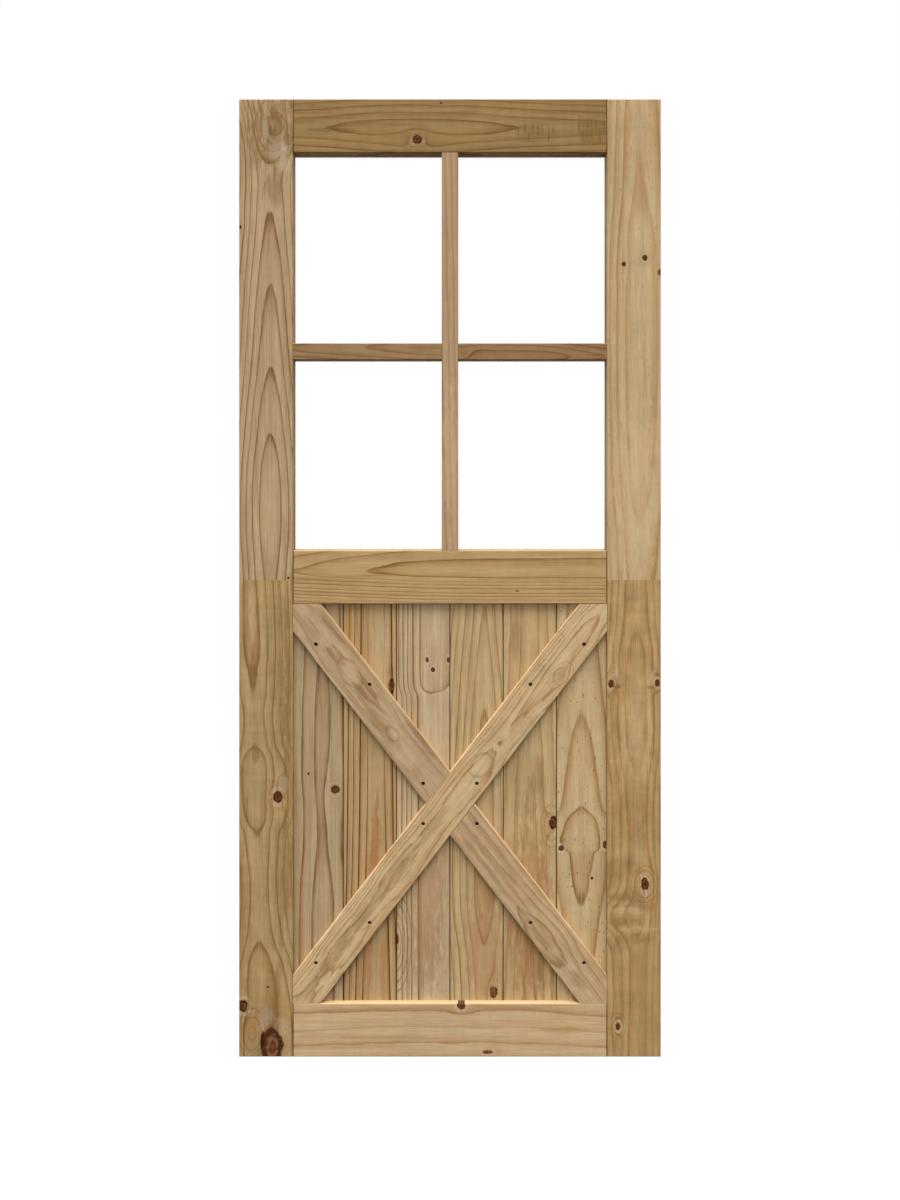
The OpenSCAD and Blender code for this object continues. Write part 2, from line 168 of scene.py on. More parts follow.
FRAME_BOARDS = (
    Board(
        "left_stile_upper", srgb(181, 155, 120), srgb(110, 80, 40), (-400, 1882),
        depth=34, ring=11,
        rise=((1062, -36.8), (1218, -42), (1403, -33), (1541, -22), (1724, -11), (1892, 0), (1985, 4),
              (2060, -4), (2134, -26)),
        swirl=1.4,
        knots=(
            Knot(-386, 2063, 17, 1.25, 0.14, 0.6, -36),
            Knot(-467, 1848, 3, 1.4),
            Knot(-360, 1067, 2.6, 1.0, 1.0, 0.2),
        ),
        loops=(
            Loop(-388, 2064, 50, 80, 2, 0.55),
            Loop(-385, 2064, 17, 22, 4, 0.35),
        ),
        stains=(
            Stain(-405, 2050, 66, 90, OLIVE_BROWN, 0.62),
            Stain(-392, 1940, 26, 46, OLIVE_BROWN, 0.5),
            Stain(-396, 2066, 9, 16, BARK_BROWN, 0.45),
            Stain(-411, 2066, 8, 32, FILLER_GREY, 0.6),
            Stain(-388, 2112, 60, 24, OLIVE_BROWN, 0.35),
            Stain(-384, 2020, 24, 28, FILLER_GREY, 0.6),
            Stain(-372, 2036, 11, 28, FILLER_PALE, 0.4),
            Stain(-370, 1990, 17, 22, FILLER_PALE, 0.45),
            Stain(-364, 2044, 9, 16, OLIVE_BROWN, 0.7),
            Stain(-394, 2106, 13, 11, OLIVE_BROWN, 0.6),
            Stain(-378, 2092, 30, 10, OLIVE_BROWN, 0.5),
        ),
    ),
    Board(
        "left_stile_lower", srgb(176, 149, 105), srgb(106, 72, 30), (-432, 600),
        depth=30, ring=14,
        rise=((0, -14), (110, -13), (190, -10), (258, 0), (300, 3.5), (380, 6), (440, 4), (499, 0),
              (600, -13.5), (693, 0), (725, 3), (757, 4.5), (790, 2.5), (824, 0), (860, -1.5), (929, -4.8),
              (1062, -3.2)),
        tilt=-0.03, swirl=1.6, contrast=1.15, soft=0.2, ripple=0.7, curl=0.5,
        knots=(
            Knot(-383, 579, 10, 1.2, 1.0, 0.95, 3, 0.45),
            Knot(-461, 114, 10, 1.2, 1.0, 0.9, 3, 0.5),
            Knot(-395, 22, 23, 1.75, 1.0, 0.9, 8),
            Knot(-416, 34, 6, 3.6, 1.0, 0.0),
            Knot(-405, 156, 2.6, 1.0, 0.9, 0.4),
        ),
        loops=(
            Loop(-370, 606, 15, 24, 2, 0.4),
            Loop(-440, 52, 32, 60, 3, 0.45),
            Loop(-366, 36, 10, 30, 2, 0.35),
        ),
        stains=(
            Stain(-364, 760, 13, 300, OLIVE_BROWN, 0.62),
            Stain(-440, 990, 10, 76, PALE_SAP, 0.35),
            Stain(-440, 860, 7, 60, OLIVE_BROWN, 0.45),
            Stain(-432, 676, 10, 26, OLIVE_BROWN, 0.5),
            Stain(-470, 330, 12, 160, OLIVE_BROWN, 0.4),
            Stain(-368, 420, 14, 150, OLIVE_BROWN, 0.5),
            Stain(-368, 606, 12, 20, FILLER_PALE, 0.3),
            Stain(-410, 88, 18, 26, FILLER_GREY, 0.4),
            Stain(-440, 70, 12, 24, RESIN_ORANGE, 0.5),
            Stain(-384, 160, 9, 60, OLIVE_BROWN, 0.5),
            Stain(-376, 116, 14, 20, RESIN_ORANGE, 0.35),
        ),
    ),
    Board(
        "right_stile_upper", srgb(189, 164, 125), srgb(144, 110, 64), (420, 1614),
        depth=30, ring=20,
        rise=((1062, 6), (1165, 0), (1357, -13.9), (1614, -18), (1798, -15), (1931, -4), (2050, 0),
              (2134, 3)),
        skew=-0.3, swirl=1.6, contrast=1.05, soft=0.35, flecks=0.4,
        knots=(
            Knot(387, 1766, 4.5, 1.2, 1.0, 0.9, 3),
            Knot(434, 1780, 5.5, 1.1, 1.0, 0.6),
            Knot(468, 1748, 5, 1.5, 0.9, 0.9, 3),
        ),
        stains=(
            Stain(414, 2030, 56, 110, OLIVE_BROWN, 0.16),
            Stain(414, 1250, 56, 230, PALE_SAP, 0.45),
        ),
    ),
    Board(
        "right_stile_lower", srgb(181, 151, 105), srgb(112, 78, 34), (414, 790),
        depth=26, ring=13,
        rise=((0, 6), (200, 5), (385, 3), (500, 4), (610, 0), (790, -11.5), (969, 0), (1062, 3)),
        swirl=3.5, ragged=1.8, contrast=1.1, soft=0.48, ripple=0.6, curl=0.85,
        knots=(
            Knot(359, 831, 5.5, 1.5, 0.95, 0.9, -16, 0.6),
            Knot(462, 833, 5.5, 1.4, 0.95, 0.9, -16, 0.6),
            Knot(434, 385, 8, 1.7, 1.0, 0.6, -20, 0.6),
            Knot(374, 68, 4.5, 1.7, 1.0, 0.6, -16, 0.9),
            Knot(362, 312, 26, 0.7, 0.0, 0.3, -26),
        ),
        loops=(
            Loop(434, 385, 31, 42, 4, 0.45),
            Loop(374, 69, 20, 30, 3, 0.45),
        ),
        stains=(
            Stain(372, 825, 11, 5, BARK_BROWN, 0.5),
            Stain(365, 812, 9, 8, BARK_BROWN, 0.35),
            Stain(370, 856, 6, 20, FILLER_PALE, 0.5),
            Stain(450, 823, 12, 5, BARK_BROWN, 0.5),
            Stain(452, 850, 6, 16, FILLER_PALE, 0.45),
            Stain(376, 356, 32, 11, OLIVE_BROWN, 0.45),
            Stain(398, 326, 44, 10, PALE_SAP, 0.35),
            Stain(384, 302, 42, 11, OLIVE_BROWN, 0.4),
            Stain(440, 334, 24, 12, OLIVE_BROWN, 0.35),
            Stain(420, 284, 50, 8, PALE_SAP, 0.3),
            Stain(402, 262, 60, 12, OLIVE_BROWN, 0.4),
            Stain(414, 700, 22, 130, PALE_SAP, 0.25),
            Stain(380, 420, 40, 30, OLIVE_BROWN, 0.35),
            Stain(414, 560, 40, 90, OLIVE_BROWN, 0.25),
            Stain(386, 690, 7, 120, PALE_SAP, 0.35),
            Stain(446, 690, 7, 130, PALE_SAP, 0.35),
            Stain(430, 180, 36, 80, PLAIN_TAN, 0.6),
            Stain(440, 60, 34, 70, PLAIN_TAN, 0.6),
        ),
    ),
    Board(
        "top_rail", srgb(152, 124, 81), srgb(96, 64, 25), (0, 2069),
        depth=22, ring=13,
        rise=((-350, 2), (-298, 0), (-75, -9), (178, 0), (350, 6)),
        swirl=2.2, contrast=0.9, soft=0.12, ripple=0.6, edge=0.85, butt=1.0, lean=LEVEL,
        knots=(
            Knot(-73, 2044, 9, 1.1, 1.0, 0.9, 14),
            Knot(-20, 2125, 2.6, 1.2, 0.8),
        ),
        stains=tuple(
            Stain(x, z, half_height, CROSS_BAND_HALF, BARK_BROWN, CROSS_BAND_STRENGTH)
            for x, z, half_height in (
                (152, 2060, 8), (166, 2066, 12), (175, 2054, 14), (184, 2066, 16), (196, 2062, 20),
                (205, 2066, 16), (220, 2056, 18), (230, 2062, 10), (288, 2074, 22), (297, 2060, 26),
                (306, 2068, 26), (316, 2062, 24), (325, 2076, 20), (334, 2050, 24), (343, 2074, 18),
            )
        ) + (
            Stain(186, 2060, 26, 46, OLIVE_BROWN, 0.4),
            Stain(318, 2062, 42, 36, OLIVE_BROWN, 0.55),
            Stain(-262, 2064, 7, 60, BARK_BROWN, 0.35),
        ),
    ),
    Board(
        "mid_rail", srgb(184, 155, 110), srgb(124, 88, 44), (0, 1082),
        depth=18, ring=11,
        rise=((-350, 11), (-182, 0), (0, -6.8), (350, -8.5)),
        skew=0.5, swirl=1.6, contrast=1.05, edge=0.6, butt=0.9, lean=LEVEL,
        knots=(Knot(150, 1038, 1.8, 2.4, 0.7, 0.3),),
    ),
    Board(
        "bottom_rail", srgb(199, 171, 133), srgb(152, 117, 72), (0, 160),
        depth=60, ring=30,
        rise=((-350, 0), (25, 8), (350, -3)),
        swirl=5.0, ragged=2.0, contrast=0.65, edge=0.15, butt=0.9, lean=LEVEL,
        knots=(
            Knot(25, 115, 8, 1.1, 0.95, 0.9, -10, 0.45),
            Knot(84, 11, 4, 2.6, 0.9, 0.8, 3),
        ),
        stains=(
            Stain(255, 60, 8, 80, RESIN_ORANGE, 0.42),
            Stain(-150, 44, 5, 120, OLIVE_BROWN, 0.25),
        ),
    ),
)

GLAZING_BARS = (
    Board(
        "glazing_bar_upright", srgb(172, 146, 113), srgb(146, 116, 80), (-60, 1500),
        depth=30, ring=12, rise=((1128, -8), (1560, 0), (2014, 6)), swirl=2.5,
        stains=(Stain(0, 1330, 24, 220, PALE_SAP, 0.35),),
    ),
    Board(
        "glazing_bar_left", srgb(152, 124, 90), srgb(116, 86, 50), (-150, 1580),
        depth=12, ring=11, rise=((-350, 10), (-180, 0), (-20, -10)), swirl=2.5, lean=LEVEL,
    ),
    Board(
        "glazing_bar_right", srgb(147, 117, 82), srgb(110, 79, 44), (60, 1560),
        depth=12, ring=11, rise=((20, 0), (120, -6), (350, 10)), swirl=2.5, lean=LEVEL,
        knots=(Knot(30, 1568, 6, 1.2, 0.12, 0.8, 3),),
    ),
)

PLANKS = (
    Board(
        "plank_1", srgb(181, 158, 123), srgb(104, 74, 40), (-285, 700),
        depth=15, ring=30,
        rise=((119, -15), (330, -14), (528, -4.8), (620, -8), (700, -8.4), (850, -5), (1009, -2)),
        swirl=3.0, ragged=1.6, contrast=0.85, edge=1.0,
        knots=(
            Knot(-317, 627, 2.6, 1.0, 1.0, 0.4),
            Knot(-257, 592, 9.5, 1.0, 0.95, 0.8, 4),
        ),
        stains=(Stain(-335, 300, 9, 220, RESIN_ORANGE, 0.3),),
    ),
    Board(
        "plank_2", srgb(184, 155, 112), srgb(96, 62, 24), (-165, 597),
        depth=14, ring=13,
        rise=((119, -10), (597, 0), (1009, 2)),
        plain=24, swirl=1.6, contrast=1.7, edge=1.0,
        knots=(Knot(-131, 824, 6, 2.6, 1.0, 0.7),),
        stains=(
            Stain(-226, 920, 12, 120, RESIN_ORANGE, 0.55),
            Stain(-163, 560, 7, 50, RED_TAN, 0.8),
            Stain(-165, 490, 12, 70, RED_TAN, 0.8),
            Stain(-170, 400, 17, 90, RED_TAN, 0.75),
            Stain(-192, 220, 22, 120, RED_TAN, 0.55),
            Stain(-150, 190, 9, 90, RESIN_ORANGE, 0.6),
            Stain(-158, 880, 24, 160, PALE_SAP, 0.3),
        ),
    ),
    Board(
        "plank_3", srgb(195, 173, 137), srgb(112, 78, 36), (-44, 815),
        depth=60, ring=12,
        rise=((119, 14), (400, 13.6), (786, 13.2), (804, 12), (846, 4.8), (1009, 4)),
        skew=-0.6, swirl=1.4, contrast=1.3, edge=1.0, flecks=0.3,
        knots=(
            Knot(-38, 860, 4.5, 1.2, 1.0, 0.5, 0.0, 0.4),
            Knot(-51, 882, 3.4, 1.8, 0.9, 0.6, 0.0, 0.6),
            Knot(-4, 882, 3.4, 1.8, 0.9, 0.6, 0.0, 0.6),
            Knot(-120, 256, 5, 2.4, 1.0, 0.4),
        ),
        loops=(Loop(-122, 251, 36, 116, 5, 0.65),),
        stains=(
            Stain(-50, 330, 46, 190, RED_TAN, 0.48),
            Stain(-58, 215, 50, 100, OLIVE_BROWN, 0.2),
            Stain(-30, 700, 26, 90, PALE_SAP, 0.3),
        ),
    ),
    Board(
        "plank_4", srgb(193, 167, 125), srgb(124, 90, 46), (77, 545),
        depth=14, ring=15,
        rise=((119, 6.5), (222, 0), (400, -14), (600, -11), (797, 0), (991, 15), (1009, 16)),
        swirl=2.2, ragged=1.6, contrast=0.9, soft=0.1, edge=1.0,
        knots=(Knot(98, 138, 9, 1.5, 1.0, 0.85, 3),),
        stains=(
            Stain(77, 380, 28, 120, RED_TAN, 0.5),
            Stain(80, 220, 56, 120, RED_TAN, 0.4),
            Stain(100, 720, 14, 80, RESIN_ORANGE, 0.3),
        ),
    ),
    Board(
        "plank_5", srgb(193, 166, 123), srgb(126, 90, 48), (178, 690),
        depth=16, ring=20,
        rise=((119, -26), (400, -13), (684, 0), (850, 6), (1009, 9)),
        swirl=7.0, ragged=2.0, contrast=1.0, soft=0.25, edge=1.0,
        knots=(Knot(231, 517, 9, 1.7, 1.0, 0.6, -20),),
        loops=(Loop(228, 510, 26, 50, 3, 0.5),),
        stains=(
            Stain(148, 930, 14, 50, OLIVE_BROWN, 0.35),
            Stain(200, 610, 14, 60, OLIVE_BROWN, 0.3),
            Stain(165, 615, 50, 100, OLIVE_BROWN, 0.24),
            Stain(205, 410, 12, 60, RED_TAN, 0.45),
            Stain(175, 320, 58, 220, RED_TAN, 0.5),
            Stain(180, 330, 60, 220, OLIVE_BROWN, 0.14),
            Stain(205, 180, 9, 60, OLIVE_BROWN, 0.5),
            Stain(228, 170, 5, 60, OLIVE_BROWN, 0.5),
        ),
    ),
    Board(
        "plank_6", srgb(198, 173, 132), srgb(138, 102, 54), (294, 450),
        depth=20, ring=34,
        rise=((119, 24), (248, 12), (333, 0), (376, -7.6), (434, -14), (450, -18), (466, -33), (494, -29),
              (526, -18.6), (555, 0), (637, 11.6), (710, 21.3), (763, 30.7), (1009, 52)),
        swirl=1.4, contrast=1.25, soft=0.1, edge=1.0, flecks=0.9,
        knots=(
            Knot(249, 460, 6, 1.1, 0.95, 0.6, 4, 0.55),
            Knot(349, 468, 6.5, 1.3, 0.95, 0.6, 4, 0.45),
            Knot(318, 393, 3.2, 1.1, 1.0, 0.7, 3),
        ),
        stains=(
            Stain(295, 347, 9, 20, OLIVE_BROWN, 0.45),
            Stain(294, 440, 26, 70, OLIVE_BROWN, 0.15),
        ),
    ),
)

BRACE_BOARDS = (
    Board(
        "brace_long", srgb(202, 176, 136), srgb(140, 104, 58), (4, 560),
        depth=45, ring=6,
        rise=((-560, -6), (-480, -2), (-400, -6), (-300, -3), (-190, -7), (-60, -4), (60, -6), (200, 0),
              (370, -4), (560, 2)),
        skew=-0.25, swirl=4.0, ragged=2.4, contrast=1.0, soft=0.1, curl=0.5, edge=0.0,
        lean=RISING, origin=BRACE_CROSSING,
        knots=(
            Knot(111, 699, 4.5, 1.3, 0.45, 0.6, 5),
            Knot(247, 849, 6, 1.3, 0.12, 0.5, -10),
        ),
        loops=(
            Loop(69, 651, 25, 33, 1, 0.42),
            Loop(247, 849, 24, 36, 3, 0.4),
            Loop(226, 905, 12, 44, 3, 0.35),
        ),
        stains=(
            Stain(69, 651, 18, 24, PALE_SAP, 0.35),
            Stain(155, 747, 9, 50, RESIN_ORANGE, 0.35),
            Stain(-262, 223, 17, 80, OLIVE_BROWN, 0.4),
            Stain(-190, 318, 15, 80, OLIVE_BROWN, 0.4),
            Stain(-118, 412, 16, 90, OLIVE_BROWN, 0.38),
            Stain(-44, 508, 14, 70, OLIVE_BROWN, 0.28),
        ),
    ),
    Board(
        "brace_upper", srgb(184, 159, 125), srgb(130, 97, 57), (-222, 855),
        depth=40, ring=12,
        rise=((40, 3), (150, 6), (250, 0), (366, -4), (480, 2), (560, 6)),
        swirl=7.0, ragged=1.8, contrast=0.9, soft=0.3, curl=0.6, edge=0.0,
        lean=FALLING, origin=BRACE_CROSSING,
        loops=(
            Loop(-223, 856, 24, 42, 1, 0.42),
            Loop(-128, 718, 12, 22, 1, 0.42),
        ),
        stains=(
            Stain(-223, 857, 17, 32, PALE_SAP, 0.5),
            Stain(-128, 718, 9, 15, PALE_SAP, 0.4),
            Stain(-196, 808, 12, 26, OLIVE_BROWN, 0.45),
            Stain(-155, 738, 14, 60, OLIVE_BROWN, 0.4),
            Stain(-266, 961, 9, 62, OLIVE_BROWN, 0.45),
            Stain(-305, 958, 7, 34, BARK_BROWN, 0.25),
            Stain(-100, 668, 18, 44, PALE_SAP, 0.4),
            Stain(-62, 704, 8, 70, OLIVE_BROWN, 0.35),
        ),
    ),
    Board(
        "brace_lower", srgb(190, 163, 127), srgb(128, 94, 52), (205, 262),
        depth=40, ring=13,
        rise=((-560, 4), (-441, 0), (-365, -7), (-289, 0), (-150, 4), (-40, 6)),
        swirl=7.0, ragged=1.5, contrast=1.0, soft=0.3, curl=0.6, edge=0.0,
        lean=FALLING, origin=BRACE_CROSSING,
        loops=(Loop(205, 266, 22, 82, 1, 0.6),),
        stains=(
            Stain(205, 266, 14, 62, OLIVE_BROWN, 0.5),
            Stain(284, 174, 14, 34, OLIVE_BROWN, 0.4),
            Stain(72, 432, 7, 110, OLIVE_BROWN, 0.4),
            Stain(118, 400, 6, 120, OLIVE_BROWN, 0.35),
            Stain(186, 300, 5, 150, PALE_SAP, 0.3),
        ),
    ),
)

BEAD_SIDES = ("top", "bottom", "left", "right")
PANE_NAMES = ("upper_left", "upper_right", "lower_left", "lower_right")
RAIL_DOWELS = ("top_rail_dowels", "mid_rail_dowels", "bottom_rail_dowels")


# Shader building

FLOAT = "NodeSocketFloat"
VECTOR = "NodeSocketVector"
COLOR = "NodeSocketColor"
WHITE = (1.0, 1.0, 1.0, 1.0)
NOISE_MIDDLE = 0.5

# The Mix node's sockets for colours go by number, because those for other kinds share their names.
MIX_COLOR_INPUTS = (0, 6, 7)
MIX_COLOR_OUTPUT = 2


class Value:
    """A node's output to reckon with: its sums, differences, products and quotients become Math nodes."""

    def __init__(self, wiring, socket):
        self.wiring = wiring
        self.socket = socket

    def __add__(self, other):
        return self.wiring.math("ADD", self, other)

    def __sub__(self, other):
        return self.wiring.math("SUBTRACT", self, other)

    def __rsub__(self, other):
        return self.wiring.math("SUBTRACT", other, self)

    def __mul__(self, other):
        return self.wiring.math("MULTIPLY", self, other)

    def __truediv__(self, other):
        return self.wiring.math("DIVIDE", self, other)

    def __rtruediv__(self, other):
        return self.wiring.math("DIVIDE", other, self)

    def __abs__(self):
        return self.wiring.math("ABSOLUTE", self)


class Wiring:
    """Places nodes in one tree. What is fed to a node is a number, a vector, a colour or an output."""

    def __init__(self, tree):
        self.tree = tree

    def node(self, kind, **settings):
        made = self.tree.nodes.new(kind)
        for name, value in settings.items():
            setattr(made, name, value)
        return made

    def feed(self, socket, value):
        source = value.socket if isinstance(value, Value) else value
        if isinstance(source, bpy.types.NodeSocket):
            self.tree.links.new(source, socket)
        else:
            socket.default_value = source

    def result(self, kind, inputs, output, **settings):
        """Places a node, feeds its inputs by name or number and returns one output to reckon with."""
        made = self.node(kind, **settings)
        for label, value in inputs.items():
            self.feed(made.inputs[label], value)
        return Value(self, made.outputs[output])

    def math(self, operation, *values, clamp=False):
        inputs = dict(enumerate(values))
        return self.result("ShaderNodeMath", inputs, "Value", operation=operation, use_clamp=clamp)

    def vector(self, operation, *values):
        output = "Value" if operation == "DOT_PRODUCT" else "Vector"
        return self.result("ShaderNodeVectorMath", dict(enumerate(values)), output, operation=operation)

    def split(self, value):
        made = self.node("ShaderNodeSeparateXYZ")
        self.feed(made.inputs["Vector"], value)
        return [Value(self, made.outputs[axis]) for axis in "XYZ"]

    def join(self, x, y, z):
        return self.result("ShaderNodeCombineXYZ", {"X": x, "Y": y, "Z": z}, "Vector")

    def remap(self, value, low, high, to_low=0.0, to_high=1.0, smooth=False):
        inputs = dict(enumerate((value, low, high, to_low, to_high)))
        kind = "SMOOTHSTEP" if smooth else "LINEAR"
        return self.result("ShaderNodeMapRange", inputs, "Result", interpolation_type=kind, clamp=True)

    def noise(self, place, detail=2.0, roughness=0.5, scale=1.0):
        inputs = {"Vector": place, "Scale": scale, "Detail": detail, "Roughness": roughness}
        return self.result("ShaderNodeTexNoise", inputs, 0, noise_dimensions="3D")

    def stretched_noise(self, place, scale, detail=3.0, roughness=0.6):
        return self.noise(self.vector("MULTIPLY", place, scale), detail, roughness)

    def noise_along_line(self, place):
        inputs = {"W": place, "Scale": 1.0, "Detail": 1.0}
        return self.result("ShaderNodeTexNoise", inputs, 0, noise_dimensions="1D")

    def mix(self, share, first, second, blend="MIX"):
        inputs = dict(zip(MIX_COLOR_INPUTS, (share, first, second)))
        return self.result("ShaderNodeMix", inputs, MIX_COLOR_OUTPUT, data_type="RGBA", blend_type=blend)

    def curve(self, value, points):
        """A smooth curve through points whose places and heights both lie between 0 and 1."""
        made = self.node("ShaderNodeFloatCurve")
        line = made.mapping.curves[0].points
        for index, (place, height) in enumerate(points):
            point = line[index] if index < 2 else line.new(place, height)
            point.location = (place, height)
            point.handle_type = "AUTO_CLAMPED"
        made.mapping.update()
        self.feed(made.inputs["Value"], value)
        return Value(self, made.outputs["Value"])

    def group(self, tree, **values):
        made = self.node("ShaderNodeGroup", node_tree=tree)
        for name, value in values.items():
            self.feed(made.inputs[name.replace("_", " ").capitalize()], value)
        return {socket.name: Value(self, socket) for socket in made.outputs}


def new_group(name, inputs, outputs):
    """An empty shader node group. Inputs and outputs list the names of its sockets under each kind.

    Returns its tree, its wiring, the values that it is given and the sockets that take its results.
    """
    tree = bpy.data.node_groups.new(name, "ShaderNodeTree")
    for direction, sockets in (("INPUT", inputs), ("OUTPUT", outputs)):
        for kind, labels in sockets.items():
            for label in labels:
                tree.interface.new_socket(label, in_out=direction, socket_type=kind)
    w = Wiring(tree)
    given = {socket.name: Value(w, socket) for socket in w.node("NodeGroupInput").outputs}
    taken = w.node("NodeGroupOutput").inputs
    return tree, w, given, taken


def kept_group(name, build):
    """The node group of that name, built the first time it is asked for."""
    return bpy.data.node_groups.get(name) or build(name)


def cleared_wiring(owner):
    """The wiring of a material or world whose default nodes are taken out."""
    owner.use_nodes = True
    owner.node_tree.nodes.clear()
    return Wiring(owner.node_tree)


# A knot's edges and waves are counted in knot radii from its middle. A name that ends in RAMP holds
# a range of what is measured, then the two values that the ends of that range turn into.
KNOT_CORE_EDGE = (0.84, 1.06)
KNOT_RIM_RISE = (0.82, 0.97)
KNOT_RIM_FALL = (1.0, 1.12)
KNOT_COLLAR_RISE = (1.05, 1.3)
KNOT_COLLAR_FALL = (1.5, 2.3)
KNOT_WOBBLE = 0.7
KNOT_TAPER_RAMP = (-8.0, 17.0, 0.0, 0.75)
KNOT_HALO_FADE = -0.14
KNOT_HALO_WAVES = 6.5
KNOT_HALO_RAMP = (-1.0, 1.0, 0.45, 1.0)
KNOT_WAVES = 9.0
KNOT_WAVE_RAMP = (-1.0, 1.0, -0.2, 0.3)
KNOT_HEART_REACH = (0.1, 0.85)
KNOT_HEART_RAMP = (8.0, 20.0, 0.65, 0.1)
KNOT_OUTER_TONE = 0.75
KNOT_CRACKS = 1.5
KNOT_CRACK_WANDER = 7.0
KNOT_CRACK_RAMP = (0.0, 0.3, 1.0, 0.0)
KNOT_SPOKES = 7.0
KNOT_SPOKE_WANDER = 9.0
KNOT_SPOKE_RAMP = (-0.5, 0.9, 0.5, 1.0)
KNOT_UPRIGHT_RAMP = (0.2, 0.9, 0.55, 1.0)
KNOT_BEND_ACROSS = 2.6
KNOT_BEND_ALONG = 8.0
KNOT_SWELL_FADE = -0.16


def build_knot(name):
    """A knot: bends the grain round itself and gives masks for its heart, bark, pale collar and halo."""
    own = ("Radius", "Stretch", "Tone", "Bend", "Swell", "Fray")
    passed_on = ("Core", "Rim", "Collar", "Halo", "Whorl")
    tree, w, given, taken = new_group(
        name,
        {VECTOR: ("Board", "Place", "Flow"), FLOAT: own + passed_on},
        {VECTOR: ("Flow",), FLOAT: passed_on},
    )
    radius = given["Radius"]
    ragged = w.noise(given["Board"], scale=1.0 / radius) - NOISE_MIDDLE
    across, depth, along = w.split(w.vector("SUBTRACT", given["Board"], given["Place"]))
    u = across / radius
    v = along / radius
    squeezed = v / given["Stretch"]
    even_reach = w.math("SQRT", u * u + squeezed * squeezed)
    reach = even_reach + ragged * KNOT_WOBBLE + w.remap(depth, *KNOT_TAPER_RAMP)

    def band(rise, fall):
        return w.remap(reach, *rise, smooth=True) * w.remap(reach, *fall, 1.0, 0.0, smooth=True)

    def waves(count, ramp):
        return w.remap(w.math("SINE", reach * count), *ramp)

    core = w.remap(reach, *KNOT_CORE_EDGE, 1.0, 0.0, smooth=True)
    rim = band(KNOT_RIM_RISE, KNOT_RIM_FALL)
    halo = w.math("EXPONENT", reach * reach * KNOT_HALO_FADE) * waves(KNOT_HALO_WAVES, KNOT_HALO_RAMP)
    heart = w.remap(reach, *KNOT_HEART_REACH, w.remap(radius, *KNOT_HEART_RAMP), KNOT_OUTER_TONE)
    whorl = w.math("ADD", heart, waves(KNOT_WAVES, KNOT_WAVE_RAMP), clamp=True)
    angle = w.math("ARCTAN2", u, squeezed)

    def rays(count, wander):
        return w.math("SINE", angle * count + ragged * wander)

    crack = w.remap(abs(rays(KNOT_CRACKS, KNOT_CRACK_WANDER)), *KNOT_CRACK_RAMP, smooth=True)
    spokes = w.remap(rays(KNOT_SPOKES, KNOT_SPOKE_WANDER), *KNOT_SPOKE_RAMP)
    upright = w.remap(abs(w.math("COSINE", angle)), *KNOT_UPRIGHT_RAMP)
    collar = band(KNOT_COLLAR_RISE, KNOT_COLLAR_FALL) * (spokes * upright) * given["Fray"]
    near_u = u / KNOT_BEND_ACROSS
    near_v = v / KNOT_BEND_ALONG
    near = w.math("EXPONENT", (near_u * near_u + near_v * near_v) * -1.0)
    shift = across * near * given["Bend"]
    push = w.math("EXPONENT", even_reach * even_reach * KNOT_SWELL_FADE) * given["Swell"]
    w.feed(taken["Flow"], w.vector("ADD", given["Flow"], w.join(shift, push, 0.0)))
    for label, mask in (("Core", core), ("Rim", rim), ("Collar", collar), ("Halo", halo)):
        w.feed(taken[label], w.math("MAXIMUM", given[label], mask * given["Tone"]))
    ringed = w.math("MAXIMUM", whorl, crack) * core
    w.feed(taken["Whorl"], w.math("MAXIMUM", given["Whorl"], ringed))
    return tree


# Scales are noise cycles to a mm, across the board twice and then along its grain.
SWIRL_SCALE = (1 / 55, 1 / 55, 1 / 320)
SWIRL_FINE_SCALE = (1 / 9, 1 / 9, 1 / 70)
SWIRL_FINE_SHARE = 0.35
SWIRL_SPAN = 2.0
SKEW_RAMP = (-18.0, 18.0, -1.0, 1.0)
RING_UNEVEN = 0.5
RING_UNEVEN_PITCH = 0.45
LATEWOOD_LINE = (0.62, 0.97)
LATEWOOD_BLUSH = (0.2, 0.97)
LATEWOOD_FALL = 0.97
SOFT_FALL = 0.45
SOFT_LINE_RAMP = (0.0, 1.0, 1.0, 0.25)
SOFT_BLUSH_RAMP = (0.0, 1.0, 1.0, 2.2)
PLAIN_RAMP = (0.7, 1.0, 0.12, 1.0)


